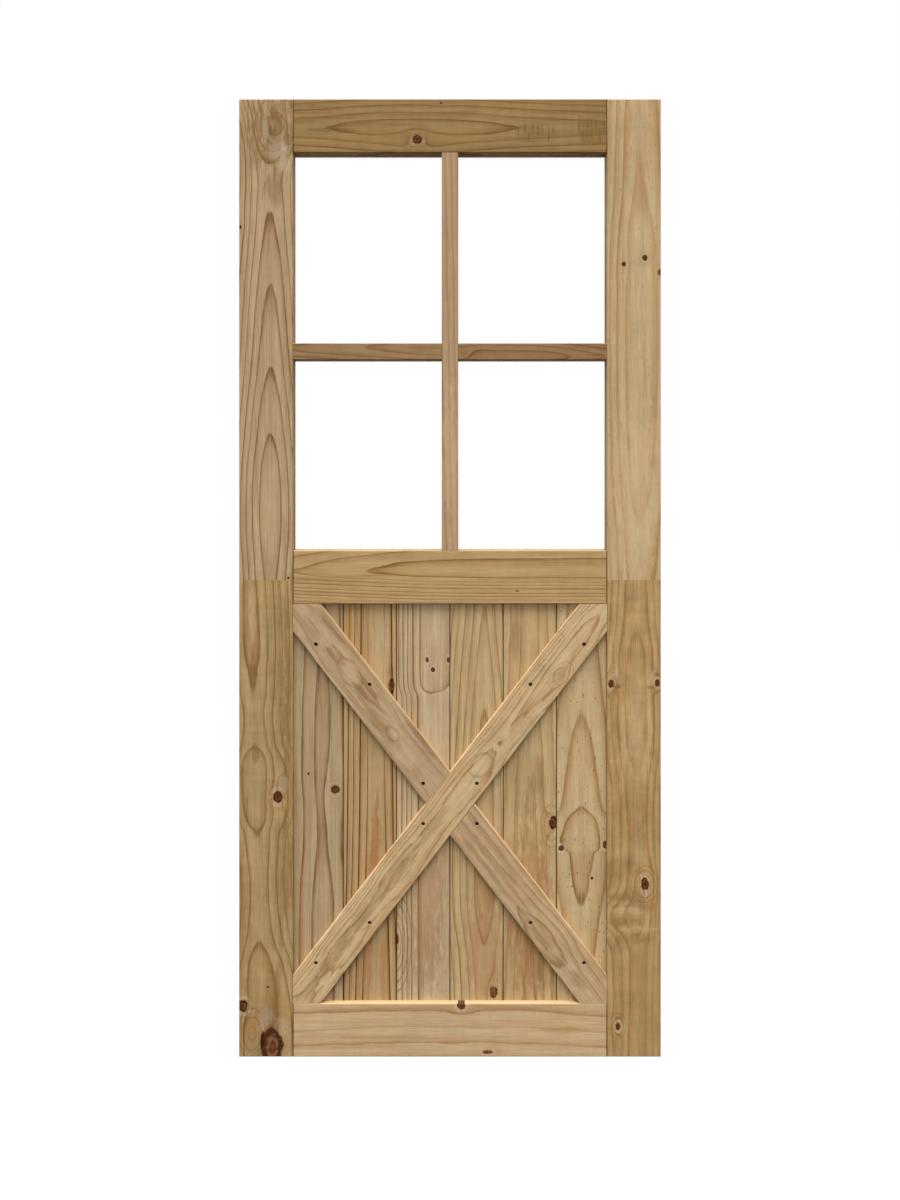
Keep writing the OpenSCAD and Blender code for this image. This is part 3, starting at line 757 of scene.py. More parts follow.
def build_growth_rings(name):
    """Year rings of the log where the board cuts them: a soft dark rise, then a sharp outer edge."""
    tree, w, given, taken = new_group(
        name,
        {
            VECTOR: ("Board", "Flow", "Heart"),
            FLOAT: ("Depth", "Ring", "Rise", "Skew", "Tilt", "Plain", "Swirl", "Ragged", "Soft", "Seed"),
        },
        {FLOAT: ("Latewood", "Blush", "Shade")},
    )
    seed, soft = given["Seed"], given["Soft"]
    across, depth, along = w.split(w.vector("SUBTRACT", given["Board"], given["Heart"]))
    bend, push, _ = w.split(given["Flow"])
    across = across - along * given["Tilt"] - bend
    radius = w.math("SQRT", across * across + depth * depth) - given["Depth"]
    radius = radius * (w.remap(across, *SKEW_RAMP) * given["Skew"] + 1.0)
    shifted = w.vector("ADD", given["Board"], w.join(seed, seed, seed))
    slow = w.stretched_noise(shifted, SWIRL_SCALE, detail=1.0, roughness=0.5) - NOISE_MIDDLE
    fine = w.stretched_noise(shifted, SWIRL_FINE_SCALE) - NOISE_MIDDLE
    drift = (slow + fine * SWIRL_FINE_SHARE * given["Ragged"]) * (given["Swirl"] * SWIRL_SPAN)
    years = (radius + given["Rise"] + drift + push) / given["Ring"]
    uneven = w.noise_along_line(years * RING_UNEVEN_PITCH + seed) - NOISE_MIDDLE
    years = years + uneven * RING_UNEVEN
    part = w.math("FRACT", years)
    line = w.remap(part, *LATEWOOD_LINE, smooth=True)
    blush = w.remap(part, *LATEWOOD_BLUSH, smooth=True)
    fall = w.remap(part, LATEWOOD_FALL - soft * SOFT_FALL, 1.0, 1.0, 0.0, smooth=True)
    shown = fall * w.remap(abs(across) / given["Plain"], *PLAIN_RAMP)
    w.feed(taken["Latewood"], line * line * w.remap(soft, *SOFT_LINE_RAMP) * shown)
    w.feed(taken["Blush"], blush * w.remap(soft, *SOFT_BLUSH_RAMP) * shown)
    chance = {"W": w.math("FLOOR", years) + seed}
    w.feed(taken["Shade"], w.result("ShaderNodeTexWhiteNoise", chance, "Value", noise_dimensions="1D"))
    return tree


BAND_SCALE = (0.06, 0.06, 0.0022)
FIBRE_SCALE = (0.4, 0.4, 0.007)
HAIR_SCALE = (1.0, 1.0, 0.025)
CLOUD_SCALE = (1 / 45, 1 / 45, 1 / 240)
FADE_SCALE = (0.05, 0.05, 0.008)
CURL_SCALE = (1 / 24, 1 / 24, 1 / 48)
FLECK_SCALE = (0.22, 0.22, 0.1)
RIPPLE_SCALE = (0.012, 0.012, 0.075)
FRAY_SCALE = (0.5, 0.5, 0.12)

LINE_SHADE_RAMP = (0.0, 1.0, 0.55, 1.0)
LINE_FADE_RAMP = (0.3, 0.6, 0.45, 1.05)
FIBRE_RAMP = (0.45, 0.75, 0.0, 0.36)
BAND_RAMP = (0.45, 0.75, 0.0, 0.26)
BLUSH_WARMTH = 0.4
CLOUD_WARMTH_RAMP = (0.48, 0.72, 0.0, 0.3)
HALO_WARMTH = 0.4
HAIR_LEVEL_RAMP = (0.25, 0.75, -0.11, 0.11)
CLOUD_LEVEL_RAMP = (0.3, 0.7, -0.05, 0.05)
# Planer ripple is painted sheen: bands of lighter and darker tone across the grain.
RIPPLE_SHEEN_RAMP = (0.35, 0.65, -0.06, 0.06)
CURL_LEVEL_RAMP = (0.3, 0.7, -0.2, 0.2)
END_GRAIN_RAMP = (0.0, 1.0, 1.0, 0.72)
FLECK_RAMP = (0.69, 0.75, 0.0, 0.75)
TORN_WHITE = (1.0, 0.88, 0.72, 1.0)
SAP_WHITENESS = 0.25
COLLAR_WHITENESS = 0.55
COLLAR_FRAY_RAMP = (0.35, 0.6, 0.3, 0.9)
# Painted highlight: faces that look up are blended towards a warm pale tint, as if lit from above.
TOP_LIGHT_TINT = (1.0, 0.66, 0.34, 1.0)
TOP_LIGHT_TINT_SHARE = 0.35
PAINTED_TOP_LIGHT_SHARE = 0.38
HEART_SAP = 0.48
WHORL_HEART = (0.0, 0.4)
WHORL_BARK = (0.4, 1.0)
HEART_HAIR_RAMP = (0.4, 0.7, 0.0, 0.4)
HEART_FRAY_RAMP = (0.6, 0.7, 0.0, 0.3)
RIM_FRAY_RAMP = (0.3, 0.6, 0.7, 1.0)
# How far the painted shade in the joints goes to its colour.
PAINTED_JOINT_SHADE_SHARE = 0.9
HAIR_ROUGHNESS_RAMP = (0.2, 0.8, 0.58, 0.74)
LINE_SMOOTHNESS = 0.08
CORE_SMOOTHNESS = 0.1
LINE_HEIGHT = 0.5
HAIR_HEIGHT = 0.45
FIBRE_HEIGHT = 0.4
RIM_SINK = 0.7


def build_pine_surface(name):
    """Planed pine: fibres, soft clouds, resin flecks, planer ripple and knots over the year rings.
    The planer ripple is painted sheen, faces that look up get a painted highlight, the joints painted shade.
    """
    tree, w, given, taken = new_group(
        name,
        {
            VECTOR: ("Board",),
            COLOR: ("Pale", "Dark", "Heartwood", "Bark", "Resin", "Joint"),
            FLOAT: ("Latewood", "Blush", "Shade", "Core", "Rim", "Collar", "Halo", "Whorl", "Edge",
                    "Upper edge", "End grain", "Contrast", "Flecks", "Ripple", "Curl", "Seed"),
        },
        {COLOR: ("Color",), FLOAT: ("Roughness", "Height")},
    )
    seed, whorl = given["Seed"], given["Whorl"]
    pale, heartwood, bark, joint = (given[label] for label in ("Pale", "Heartwood", "Bark", "Joint"))
    board = w.vector("ADD", given["Board"], w.join(seed, seed, seed))

    def layer(scale, **settings):
        return w.stretched_noise(board, scale, **settings)

    def resined(share, color):
        return w.mix(share, color, w.mix(1.0, color, given["Resin"], "MULTIPLY"))

    band, hair, cloud = layer(BAND_SCALE), layer(HAIR_SCALE), layer(CLOUD_SCALE)
    fade, fray = layer(FADE_SCALE), layer(FRAY_SCALE)
    fibre, curl = layer(FIBRE_SCALE, detail=4.0), layer(CURL_SCALE, detail=4.0)
    ripple, fleck = layer(RIPPLE_SCALE, detail=2.0), layer(FLECK_SCALE, detail=1.0)

    strength = w.remap(given["Shade"], *LINE_SHADE_RAMP) * given["Contrast"]
    line = w.math("MULTIPLY", given["Latewood"] * w.remap(fade, *LINE_FADE_RAMP), strength, clamp=True)
    streak = w.remap(fibre, *FIBRE_RAMP) + w.remap(band, *BAND_RAMP)
    body = w.math("ADD", line, streak * (1.0 - line), clamp=True)
    color = w.mix(body, pale, given["Dark"])
    blush = given["Blush"] * strength * BLUSH_WARMTH
    color = resined(w.math("MAXIMUM", w.remap(cloud, *CLOUD_WARMTH_RAMP), blush), color)
    color = resined(given["Halo"] * HALO_WARMTH, color)
    shade = w.remap(hair, *HAIR_LEVEL_RAMP) + w.remap(cloud, *CLOUD_LEVEL_RAMP)
    # Painted sheen bands of the planer ripple.
    ripple_sheen = w.remap(ripple, *RIPPLE_SHEEN_RAMP) * given["Ripple"]
    curls = w.remap(curl, *CURL_LEVEL_RAMP) * given["Curl"]
    level = (shade + (ripple_sheen + curls) + 1.0) * w.remap(given["End grain"], *END_GRAIN_RAMP)
    color = w.mix(1.0, color, w.join(level, level, level), "MULTIPLY")
    color = w.mix(w.remap(fleck, *FLECK_RAMP, smooth=True) * given["Flecks"], color, joint)
    torn = w.mix(COLLAR_WHITENESS, pale, TORN_WHITE)
    color = w.mix(given["Collar"] * w.remap(fray, *COLLAR_FRAY_RAMP), color, torn)
    # Painted highlight on faces that look up.
    color = w.mix(given["Upper edge"] * PAINTED_TOP_LIGHT_SHARE, color, w.mix(TOP_LIGHT_TINT_SHARE, pale, TOP_LIGHT_TINT))

    sap = w.mix(SAP_WHITENESS, pale, TORN_WHITE)
    knot = w.mix(w.remap(whorl, *WHORL_HEART), w.mix(HEART_SAP, heartwood, sap), heartwood)
    knot = w.mix(w.remap(whorl, *WHORL_BARK), knot, bark)
    knot = w.mix(w.remap(hair, *HEART_HAIR_RAMP), knot, bark)
    knot = w.mix(w.remap(fray, *HEART_FRAY_RAMP), knot, sap)
    color = w.mix(given["Core"], color, knot)
    color = w.mix(given["Rim"] * w.remap(fray, *RIM_FRAY_RAMP), color, bark)
    # Painted shade in the joints, on the sides just below the faces and at the rails' ends.
    w.feed(taken["Color"], w.mix(given["Edge"] * PAINTED_JOINT_SHADE_SHARE, color, joint))

    rough = w.remap(hair, *HAIR_ROUGHNESS_RAMP) - line * LINE_SMOOTHNESS
    w.feed(taken["Roughness"], rough - given["Core"] * CORE_SMOOTHNESS)
    grain = line * LINE_HEIGHT + hair * HAIR_HEIGHT + fibre * FIBRE_HEIGHT
    w.feed(taken["Height"], grain - given["Rim"] * RIM_SINK)
    return tree


def ellipse_square(w, given):
    """Distance from a patch's middle, squared, where 1 lies on the ellipse of its half sizes."""
    off = w.vector("SUBTRACT", given["Board"], given["Place"])
    across, _, along = w.split(w.vector("DIVIDE", off, given["Reach"]))
    return across * across + along * along


STAIN_RAGGED_SCALE = (0.14, 0.14, 0.03)
STAIN_RAGGED_RAMP = (0.25, 0.75, -1.1, 1.1)
STAIN_EDGE_RAMP = (0.0, 1.3, 1.0, 0.0)
STAIN_FADE_RAMP = (0.3, 2.2, 1.0, 0.0)


def build_stain(name):
    """A soft ragged patch of another tone laid over a board's colour."""
    tree, w, given, taken = new_group(
        name,
        {COLOR: ("Color", "Stain"), VECTOR: ("Board", "Place", "Reach"), FLOAT: ("Strength",)},
        {COLOR: ("Color",)},
    )
    square = ellipse_square(w, given)
    ragged = w.stretched_noise(given["Board"], STAIN_RAGGED_SCALE, detail=5.0, roughness=0.65)
    mask = w.remap(square + w.remap(ragged, *STAIN_RAGGED_RAMP), *STAIN_EDGE_RAMP, smooth=True)
    inside = w.remap(square, *STAIN_FADE_RAMP, smooth=True)
    w.feed(taken["Color"], w.mix(mask * inside * given["Strength"], given["Color"], given["Stain"]))
    return tree


LOOP_WOBBLE_SCALE = (0.03, 0.03, 0.015)
LOOP_WOBBLE = 0.9
LOOP_LINE = (0.55, 0.94)


def build_loop(name):
    """Closed year rings laid over a board's colour, each a soft rise and a sharp outer edge."""
    tree, w, given, taken = new_group(
        name,
        {COLOR: ("Color", "Line"), VECTOR: ("Board", "Place", "Reach"), FLOAT: ("Rings", "Strength")},
        {COLOR: ("Color",)},
    )
    wobble = (w.stretched_noise(given["Board"], LOOP_WOBBLE_SCALE) - NOISE_MIDDLE) * LOOP_WOBBLE
    years = w.math("SQRT", ellipse_square(w, given)) * given["Rings"] + wobble
    part = w.math("FRACT", years)
    line = w.remap(part, *LOOP_LINE, smooth=True)
    line = line * line * w.remap(part, LOOP_LINE[1], 1.0, 1.0, 0.0)
    line = line * w.math("LESS_THAN", years, given["Rings"])
    w.feed(taken["Color"], w.mix(line * given["Strength"], given["Color"], given["Line"]))
    return tree


# Finishes

def new_material(name):
    """A material with one Principled shader; returns it with its wiring and that shader's inputs."""
    material = bpy.data.materials.new(name)
    w = cleared_wiring(material)
    shader = w.node("ShaderNodeBsdfPrincipled")
    output = w.node("ShaderNodeOutputMaterial")
    w.feed(output.inputs["Surface"], shader.outputs["BSDF"])
    return material, w, shader.inputs


def bump(w, height, distance, strength=1.0):
    """A Bump node's normal for a height given in 0 to 1 and a depth in metres."""
    inputs = {"Height": height, "Distance": distance, "Strength": strength}
    return w.result("ShaderNodeBump", inputs, "Normal")


def object_millimetres(w, turn_about_y=0.0, middle=Vector()):
    """The surface's place on the leaf in millimetres, turned so that z runs along the grain."""
    place = w.node("ShaderNodeTexCoord")
    inputs = {
        "Vector": place.outputs["Object"],
        "Scale": (MM_PER_M,) * 3,
        "Rotation": (0.0, turn_about_y, 0.0),
        "Location": -(Matrix.Rotation(turn_about_y, 3, "Y") @ middle),
    }
    return w.result("ShaderNodeMapping", inputs, "Vector", vector_type="POINT"), place.outputs["Normal"]


def dress(node, material):
    """Gives a carried-over solid its finish."""
    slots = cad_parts[node].data.materials
    slots.clear()
    slots.append(material)


def ring_rise(w, board, place, on_board):
    """How far the year rings have climbed at each place along the board, in mm."""
    if not board.rise:
        return 0.0
    start = on_board(*board.origin).z
    places = [start + along for along, _ in board.rise]
    climbs = [climb for _, climb in board.rise]
    low, high = min(climbs), max(climbs)
    span = places[-1] - places[0]
    points = [((at - places[0]) / span, (climb - low) / (high - low)) for at, climb in zip(places, climbs)]
    along = w.split(place)[2]
    return w.remap(w.curve(w.remap(along, places[0], places[-1]), points), 0.0, 1.0, low, high)


def knot_masks(w, board, place, on_board):
    """The bent grain and the masks that a board's knots leave, one knot after another."""
    masks = {"Flow": (0.0, 0.0, 0.0), "Core": 0.0, "Rim": 0.0, "Collar": 0.0, "Halo": 0.0, "Whorl": 0.0}
    knot_group = kept_group("Knot", build_knot)
    for knot in board.knots:
        masks = w.group(
            knot_group, board=place, place=on_board(knot.x, knot.z), radius=knot.radius,
            stretch=knot.stretch, tone=knot.tone, bend=knot.bend, swell=knot.swell, fray=knot.fray,
            **{label.lower(): mask for label, mask in masks.items()},
        )
    return masks


# Depths below a board's face, and distances from a rail's end, in mm, over which painted shade darkens the
# joints
JOINT_SHADE_RISE = (0.9, 1.5)
JOINT_SHADE_FALL = (3.0, 5.0)
BUTT_SHADE_FALL = (1.2, 3.2)
STILE_BESIDE_RAILS = "right_stile_upper"


def painted_joint_shade(w, board, place, half_depth):
    """Painted shade in the joints: on the sides just below the faces, and where a rail meets its stile."""
    _, depth, along = w.split(place)
    below_face = half_depth - abs(depth)
    rise = w.remap(below_face, *JOINT_SHADE_RISE, 0.0, board.edge, smooth=True)
    shade = rise * w.remap(below_face, *JOINT_SHADE_FALL, 1.0, 0.0, smooth=True)
    if board.butt:
        half_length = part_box(STILE_BESIDE_RAILS)[0].x * MM_PER_M
        shade = w.math("MAXIMUM", shade, w.remap(half_length - abs(along), *BUTT_SHADE_FALL, board.butt, 0.0))
    return shade


def overlaid(w, board, place, on_board, color):
    """A board's colour with its closed rings and then its stains laid over it."""
    loop_group = kept_group("Loop", build_loop)
    for loop in board.loops:
        color = w.group(
            loop_group, color=color, board=place, place=on_board(loop.x, loop.z),
            reach=(loop.across, 1.0, loop.along), rings=loop.rings, line=board.dark, strength=loop.strength,
        )["Color"]
    stain_group = kept_group("Stain", build_stain)
    for stain in board.stains:
        color = w.group(
            stain_group, color=color, board=place, place=on_board(stain.x, stain.z),
            reach=(stain.across, 1.0, stain.along), stain=stain.color, strength=stain.strength,
        )["Color"]
    return color


# How squarely a face looks up, or along the grain, where it starts to count and where it counts in full. A
# face that looks up gets a painted highlight.
UPWARD_FACE = (0.3, 0.6)
END_FACE = (0.75, 0.95)


def pine_material(board, pine, seed):
    """The material of one board: its rings, knots and stains where the log had them."""
    low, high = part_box(board.node)
    middle = (low + high) / 2 * MM_PER_M
    half_depth = (high.y - low.y) / 2 * MM_PER_M
    turn_angle = math.radians(board.lean)
    turn = Matrix.Rotation(turn_angle, 3, "Y")

    def on_board(x, z):
        return turn @ Vector((x - middle.x, 0.0, z - middle.z))

    material, w, surface = new_material("pine_" + board.node)
    place, normal = object_millimetres(w, turn_angle, middle)
    masks = knot_masks(w, board, place, on_board)
    heart = on_board(*board.heart)
    heart.y = board.depth - half_depth
    rings = w.group(
        kept_group("Growth rings", build_growth_rings), board=place, flow=masks["Flow"],
        heart=heart, depth=board.depth, ring=board.ring, rise=ring_rise(w, board, place, on_board),
        skew=board.skew, tilt=board.tilt, plain=board.plain, swirl=board.swirl, ragged=board.ragged,
        soft=board.soft, seed=seed,
    )
    grain_axis = turn.inverted() @ Vector((0.0, 0.0, 1.0))
    end = abs(w.vector("DOT_PRODUCT", normal, grain_axis))
    # The finish paints light: a highlight on faces that look up, and shade in the joints.
    finish = w.group(
        kept_group("Pine surface", build_pine_surface), board=place, latewood=rings["Latewood"],
        blush=rings["Blush"], shade=rings["Shade"], core=masks["Core"], rim=masks["Rim"],
        collar=masks["Collar"], halo=masks["Halo"], whorl=masks["Whorl"],
        edge=painted_joint_shade(w, board, place, half_depth), pale=board.pale, dark=board.dark,
        heartwood=pine.knot_heart, bark=pine.knot_bark, resin=pine.resin, joint=pine.joint,
        contrast=board.contrast, flecks=board.flecks, ripple=board.ripple, curl=board.curl,
        upper_edge=w.remap(w.split(normal)[2], *UPWARD_FACE), end_grain=w.remap(end, *END_FACE), seed=seed,
    )
    w.feed(surface["Base Color"], overlaid(w, board, place, on_board, finish["Color"]))
    w.feed(surface["Roughness"], finish["Roughness"])
    w.feed(surface["Normal"], bump(w, finish["Height"], pine.grain_depth))
    surface["Specular IOR Level"].default_value = pine.gloss
    return material


SEED_STEP = 17.3


def dress_boards(boards, pine, first_seed):
    """Dresses a list of boards, each with its own cut of the log."""
    for index, board in enumerate(boards):
        dress(board.node, pine_material(board, pine, first_seed + SEED_STEP * index))


# Settings that a user would change

LENGTH = {"subtype": "DISTANCE", "unit": "LENGTH"}
ANGLE = {"subtype": "ANGLE", "unit": "ROTATION"}
SHARE = {"subtype": "FACTOR"}


def color_setting(name, description, default):
    """A colour with its alpha, shown as a swatch."""
    return bpy.props.FloatVectorProperty(
        name=name, description=description, subtype="COLOR", size=4, min=0.0, max=1.0, default=default)


def number_setting(name, description, default, least=0.0, most=1.0, **kind):
    """A number between two limits; kind gives its unit or subtype."""
    return bpy.props.FloatProperty(
        name=name, description=description, min=least, max=most, default=default, **kind)


class PineSettings(bpy.types.PropertyGroup):
    """Colours and surface of the knotty pine."""
    knot_heart: color_setting("Knot heart", "Colour of a knot's middle", srgb(108, 62, 32))
    knot_bark: color_setting("Knot bark", "Colour of a knot's rim and its rings", srgb(54, 25, 11))
    resin: color_setting("Resin", "Colour that resin gives the wood round a knot", srgb(214, 168, 112))
    # Painted shade colour for the depths of the joints, and also the real colour of resin flecks.
    joint: color_setting(
        "Joint", "Colour of the depth of a joint between two boards, and of resin flecks", srgb(84, 54, 24))
    grain_depth: number_setting(
        "Grain depth", "Relief of the planed grain", 0.0002, most=0.002, precision=5, **LENGTH)
    gloss: number_setting("Gloss", "Reflection level of the bare wood", 0.05, **SHARE)
    bead_pale: color_setting("Bead pale", "Early wood of the glazing beads", srgb(182, 154, 112))
    bead_dark: color_setting("Bead dark", "Late wood of the glazing beads", srgb(140, 108, 66))
    dowel_pale: color_setting("Dowel beech", "Colour of the beech dowels", srgb(196, 160, 122))
    dowel_dark: color_setting("Dowel ray fleck", "Colour of the flecks in the beech", srgb(150, 108, 74))


class GlazingSettings(bpy.types.PropertyGroup):
    """Colours and surface of the panes and their bedding."""
    glass_tint: color_setting("Glass tint", "Colour that the glass gives to light passing it", WHITE)
    glass_haze: number_setting(
        "Glass haze", "Most roughness that wiping marks leave on the glass", 0.008, **SHARE)
    glass_index: number_setting("Glass index", "Refractive index of the glass", 1.5, least=1.0, most=2.0)
    tape: color_setting("Glazing tape", "Colour of the foam tape under the panes", srgb(214, 210, 200))


class FasteningSettings(bpy.types.PropertyGroup):
    """Colours of the screws and pins."""
    screw: color_setting("Screw", "Colour of the black phosphate on the brace screws", srgb(38, 28, 14))
    screw_wear: color_setting(
        "Screw wear", "Colour of the steel where the black is rubbed off", srgb(104, 98, 90))
    pin: color_setting("Pin", "Colour of the bead pins' bright steel", srgb(184, 184, 182))


class StageSettings(bpy.types.PropertyGroup):
    """Camera, light and floor."""
    camera_distance: number_setting(
        "Camera distance", "From the lens to the leaf's front face", 1.95, least=0.5, most=20.0, **LENGTH)
    camera_height: number_setting(
        "Camera height", "Height of the lens above the leaf's foot", 1.31, most=4.0, **LENGTH)
    aim_height: number_setting(
        "Aim height", "Height on the leaf that falls in the middle of the picture", 1.0178, most=4.0,
        **LENGTH)
    view_height: number_setting(
        "View height", "Height of the picture at the leaf's front face", 2.6725, least=0.5, most=10.0,
        **LENGTH)
    key_strength: number_setting(
        "Overhead light", "Strength of the wide soft light above the leaf", 6.2, most=20.0)
    key_height: number_setting(
        "Overhead angle", "Height of that light above the horizon", math.radians(77.5), most=math.pi / 2,
        **ANGLE)
    key_spread: number_setting(
        "Overhead spread", "Angle that the wide soft light fills", math.radians(55), most=math.pi, **ANGLE)
    fill_above: number_setting("Fill above", "Light that comes from the ceiling", 0.4, most=5.0)
    fill_level: number_setting("Fill level", "Light that comes from the sides and the front", 1.58, most=5.0)
    floor_return: number_setting(
        "Floor return", "Share of the light that the floor throws back up", 0.03, **SHARE)
    floor_glow: number_setting(
        "Floor white", "How near to white the floor looks in the picture", 0.97, most=2.0)


SETTINGS = (PineSettings, GlazingSettings, FasteningSettings, StageSettings)


# Operators

FRAME_SEED = 11.0
BAR_SEED = 203.0
PLANK_SEED = 407.0
BRACE_SEED = 611.0
BEAD_SEED = 809.0


class DOOR_OT_frame_boards(bpy.types.Operator):
    """Dress the stiles and rails in their own knotty pine"""
    bl_idname = "barn_door.frame_boards"
    bl_label = "Stiles and rails"

    def execute(self, context):
        dress_boards(FRAME_BOARDS, context.scene.barn_door_pine, FRAME_SEED)
        return {"FINISHED"}


class DOOR_OT_glazing_bars(bpy.types.Operator):
    """Dress the glazing bars in straight-grained pine"""
    bl_idname = "barn_door.glazing_bars"
    bl_label = "Glazing bars"

    def execute(self, context):
        dress_boards(GLAZING_BARS, context.scene.barn_door_pine, BAR_SEED)
        return {"FINISHED"}


class DOOR_OT_planks(bpy.types.Operator):
    """Dress the six planks of the panel"""
    bl_idname = "barn_door.planks"
    bl_label = "Panel planks"

    def execute(self, context):
        dress_boards(PLANKS, context.scene.barn_door_pine, PLANK_SEED)
        return {"FINISHED"}


class DOOR_OT_brace(bpy.types.Operator):
    """Dress the crossed brace boards"""
    bl_idname = "barn_door.brace"
    bl_label = "Brace boards"

    def execute(self, context):
        dress_boards(BRACE_BOARDS, context.scene.barn_door_pine, BRACE_SEED)
        return {"FINISHED"}


class DOOR_OT_beads(bpy.types.Operator):
    """Dress the glazing beads behind the panes"""
    bl_idname = "barn_door.beads"
    bl_label = "Glazing beads"

    def execute(self, context):
        pine = context.scene.barn_door_pine
        beads = []
        for pane in PANE_NAMES:
            for side in BEAD_SIDES:
                node = "bead_" + pane + "_" + side
                low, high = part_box(node)
                middle = (low + high) / 2 * MM_PER_M
                beads.append(Board(
                    node, tuple(pine.bead_pale), tuple(pine.bead_dark), (middle.x, middle.z),
                    depth=34, ring=7, swirl=2.0,
                    lean=UPRIGHT if side in ("left", "right") else LEVEL,
                ))
        dress_boards(beads, pine, BEAD_SEED)
        return {"FINISHED"}


DOWEL_RAY_SCALE = (0.9, 0.9, 0.18)
DOWEL_TONE_SCALE = (0.2, 0.2, 0.02)
DOWEL_RAY_RAMP = (0.56, 0.7, 0.0, 0.7)
DOWEL_TONE_RAMP = (0.3, 0.7, 0.0, 0.3)
DOWEL_ROUGHNESS_RAMP = (0.3, 0.7, 0.5, 0.65)


class DOOR_OT_dowels(bpy.types.Operator):
    """Dress the beech dowels in the rails' ends"""
    bl_idname = "barn_door.dowels"
    bl_label = "Rail dowels"

    def execute(self, context):
        pine = context.scene.barn_door_pine
        material, w, surface = new_material("beech_dowel")
        place, _ = object_millimetres(w, math.radians(LEVEL))
        rays = w.stretched_noise(place, DOWEL_RAY_SCALE)
        tone = w.stretched_noise(place, DOWEL_TONE_SCALE, detail=2.0, roughness=0.5)
        share = w.remap(rays, *DOWEL_RAY_RAMP) + w.remap(tone, *DOWEL_TONE_RAMP)
        w.feed(surface["Base Color"], w.mix(share, pine.dowel_pale, pine.dowel_dark))
        w.feed(surface["Roughness"], w.remap(rays, *DOWEL_ROUGHNESS_RAMP))
        w.feed(surface["Normal"], bump(w, rays, pine.grain_depth))
        for node in RAIL_DOWELS:
            dress(node, material)
        return {"FINISHED"}


PANE_WIPE_SCALE = (0.02, 0.02, 0.006)
PANE_WIPE_RANGE = (0.4, 0.75)
PANE_DRAW_SCALE = (0.004, 0.004, 0.0015)
PANE_DRAW_DEPTH = 0.0004
PANE_DRAW_STRENGTH = 0.3


class DOOR_OT_panes(bpy.types.Operator):
    """Give the four panes their clear glass"""
    bl_idname = "barn_door.panes"
    bl_label = "Panes"

    def execute(self, context):
        glazing = context.scene.barn_door_glazing
        material, w, surface = new_material("clear_pane")
        place, _ = object_millimetres(w)
        wiped = w.stretched_noise(place, PANE_WIPE_SCALE, detail=4.0)
        w.feed(surface["Roughness"], w.remap(wiped, *PANE_WIPE_RANGE, 0.0, glazing.glass_haze))
        drawn = w.stretched_noise(place, PANE_DRAW_SCALE, detail=1.0, roughness=0.5)
        w.feed(surface["Normal"], bump(w, drawn, PANE_DRAW_DEPTH, PANE_DRAW_STRENGTH))
        surface["Base Color"].default_value = glazing.glass_tint
        surface["Transmission Weight"].default_value = 1.0
        surface["IOR"].default_value = glazing.glass_index
        for pane in PANE_NAMES:
            dress("pane_" + pane, material)
        return {"FINISHED"}


TAPE_CELLS_PER_MM = 1.4
TAPE_CELL_COLOR = srgb(150, 146, 138)
TAPE_CELL_RAMP = (0.3, 0.7, 0.0, 0.35)
TAPE_ROUGHNESS_RAMP = (0.3, 0.7, 0.75, 0.95)
TAPE_CELL_DEPTH = 0.0002


class DOOR_OT_tape(bpy.types.Operator):
    """Give the glazing tape its closed-cell foam"""
    bl_idname = "barn_door.tape"
    bl_label = "Glazing tape"

    def execute(self, context):
        tape = context.scene.barn_door_glazing.tape
        material, w, surface = new_material("foam_tape")
        place, _ = object_millimetres(w)
        cells = w.noise(place, roughness=0.6, scale=TAPE_CELLS_PER_MM)
        w.feed(surface["Base Color"], w.mix(w.remap(cells, *TAPE_CELL_RAMP), tape, TAPE_CELL_COLOR))
        w.feed(surface["Roughness"], w.remap(cells, *TAPE_ROUGHNESS_RAMP))
        w.feed(surface["Normal"], bump(w, cells, TAPE_CELL_DEPTH))
        for pane in PANE_NAMES:
            dress("glazing_tape_" + pane, material)
        return {"FINISHED"}


SCREW_WEAR_PER_MM = 0.6
SCREW_RUBBED_RAMP = (0.58, 0.72, 0.0, 0.6)
SCREW_ROUGHNESS_RAMP = (0.3, 0.7, 0.8, 0.6)
SCREW_RUBBED_METAL = 0.9
SCREW_SHEEN = 0.1
SCREW_WEAR_DEPTH = 0.00005


class DOOR_OT_screws(bpy.types.Operator):
    """Give the brace screws their worn black finish"""
    bl_idname = "barn_door.screws"
    bl_label = "Brace screws"

    def execute(self, context):
        fastening = context.scene.barn_door_fastening
        material, w, surface = new_material("black_screw")
        place, _ = object_millimetres(w)
        worn = w.noise(place, detail=3.0, roughness=0.65, scale=SCREW_WEAR_PER_MM)
        rubbed = w.remap(worn, *SCREW_RUBBED_RAMP)
        w.feed(surface["Base Color"], w.mix(rubbed, fastening.screw, fastening.screw_wear))
        w.feed(surface["Roughness"], w.remap(worn, *SCREW_ROUGHNESS_RAMP))
        w.feed(surface["Metallic"], rubbed * SCREW_RUBBED_METAL)
        w.feed(surface["Normal"], bump(w, worn, SCREW_WEAR_DEPTH))
        surface["Specular IOR Level"].default_value = SCREW_SHEEN
        dress("brace_screws", material)
        return {"FINISHED"}


PIN_DRAW_SCALE = (2.0, 0.3, 2.0)
PIN_DULL_COLOR = srgb(120, 118, 114)
PIN_DULL_RAMP = (0.4, 0.7, 0.0, 0.5)
PIN_ROUGHNESS_RAMP = (0.3, 0.7, 0.25, 0.45)
PIN_DRAW_DEPTH = 0.00003


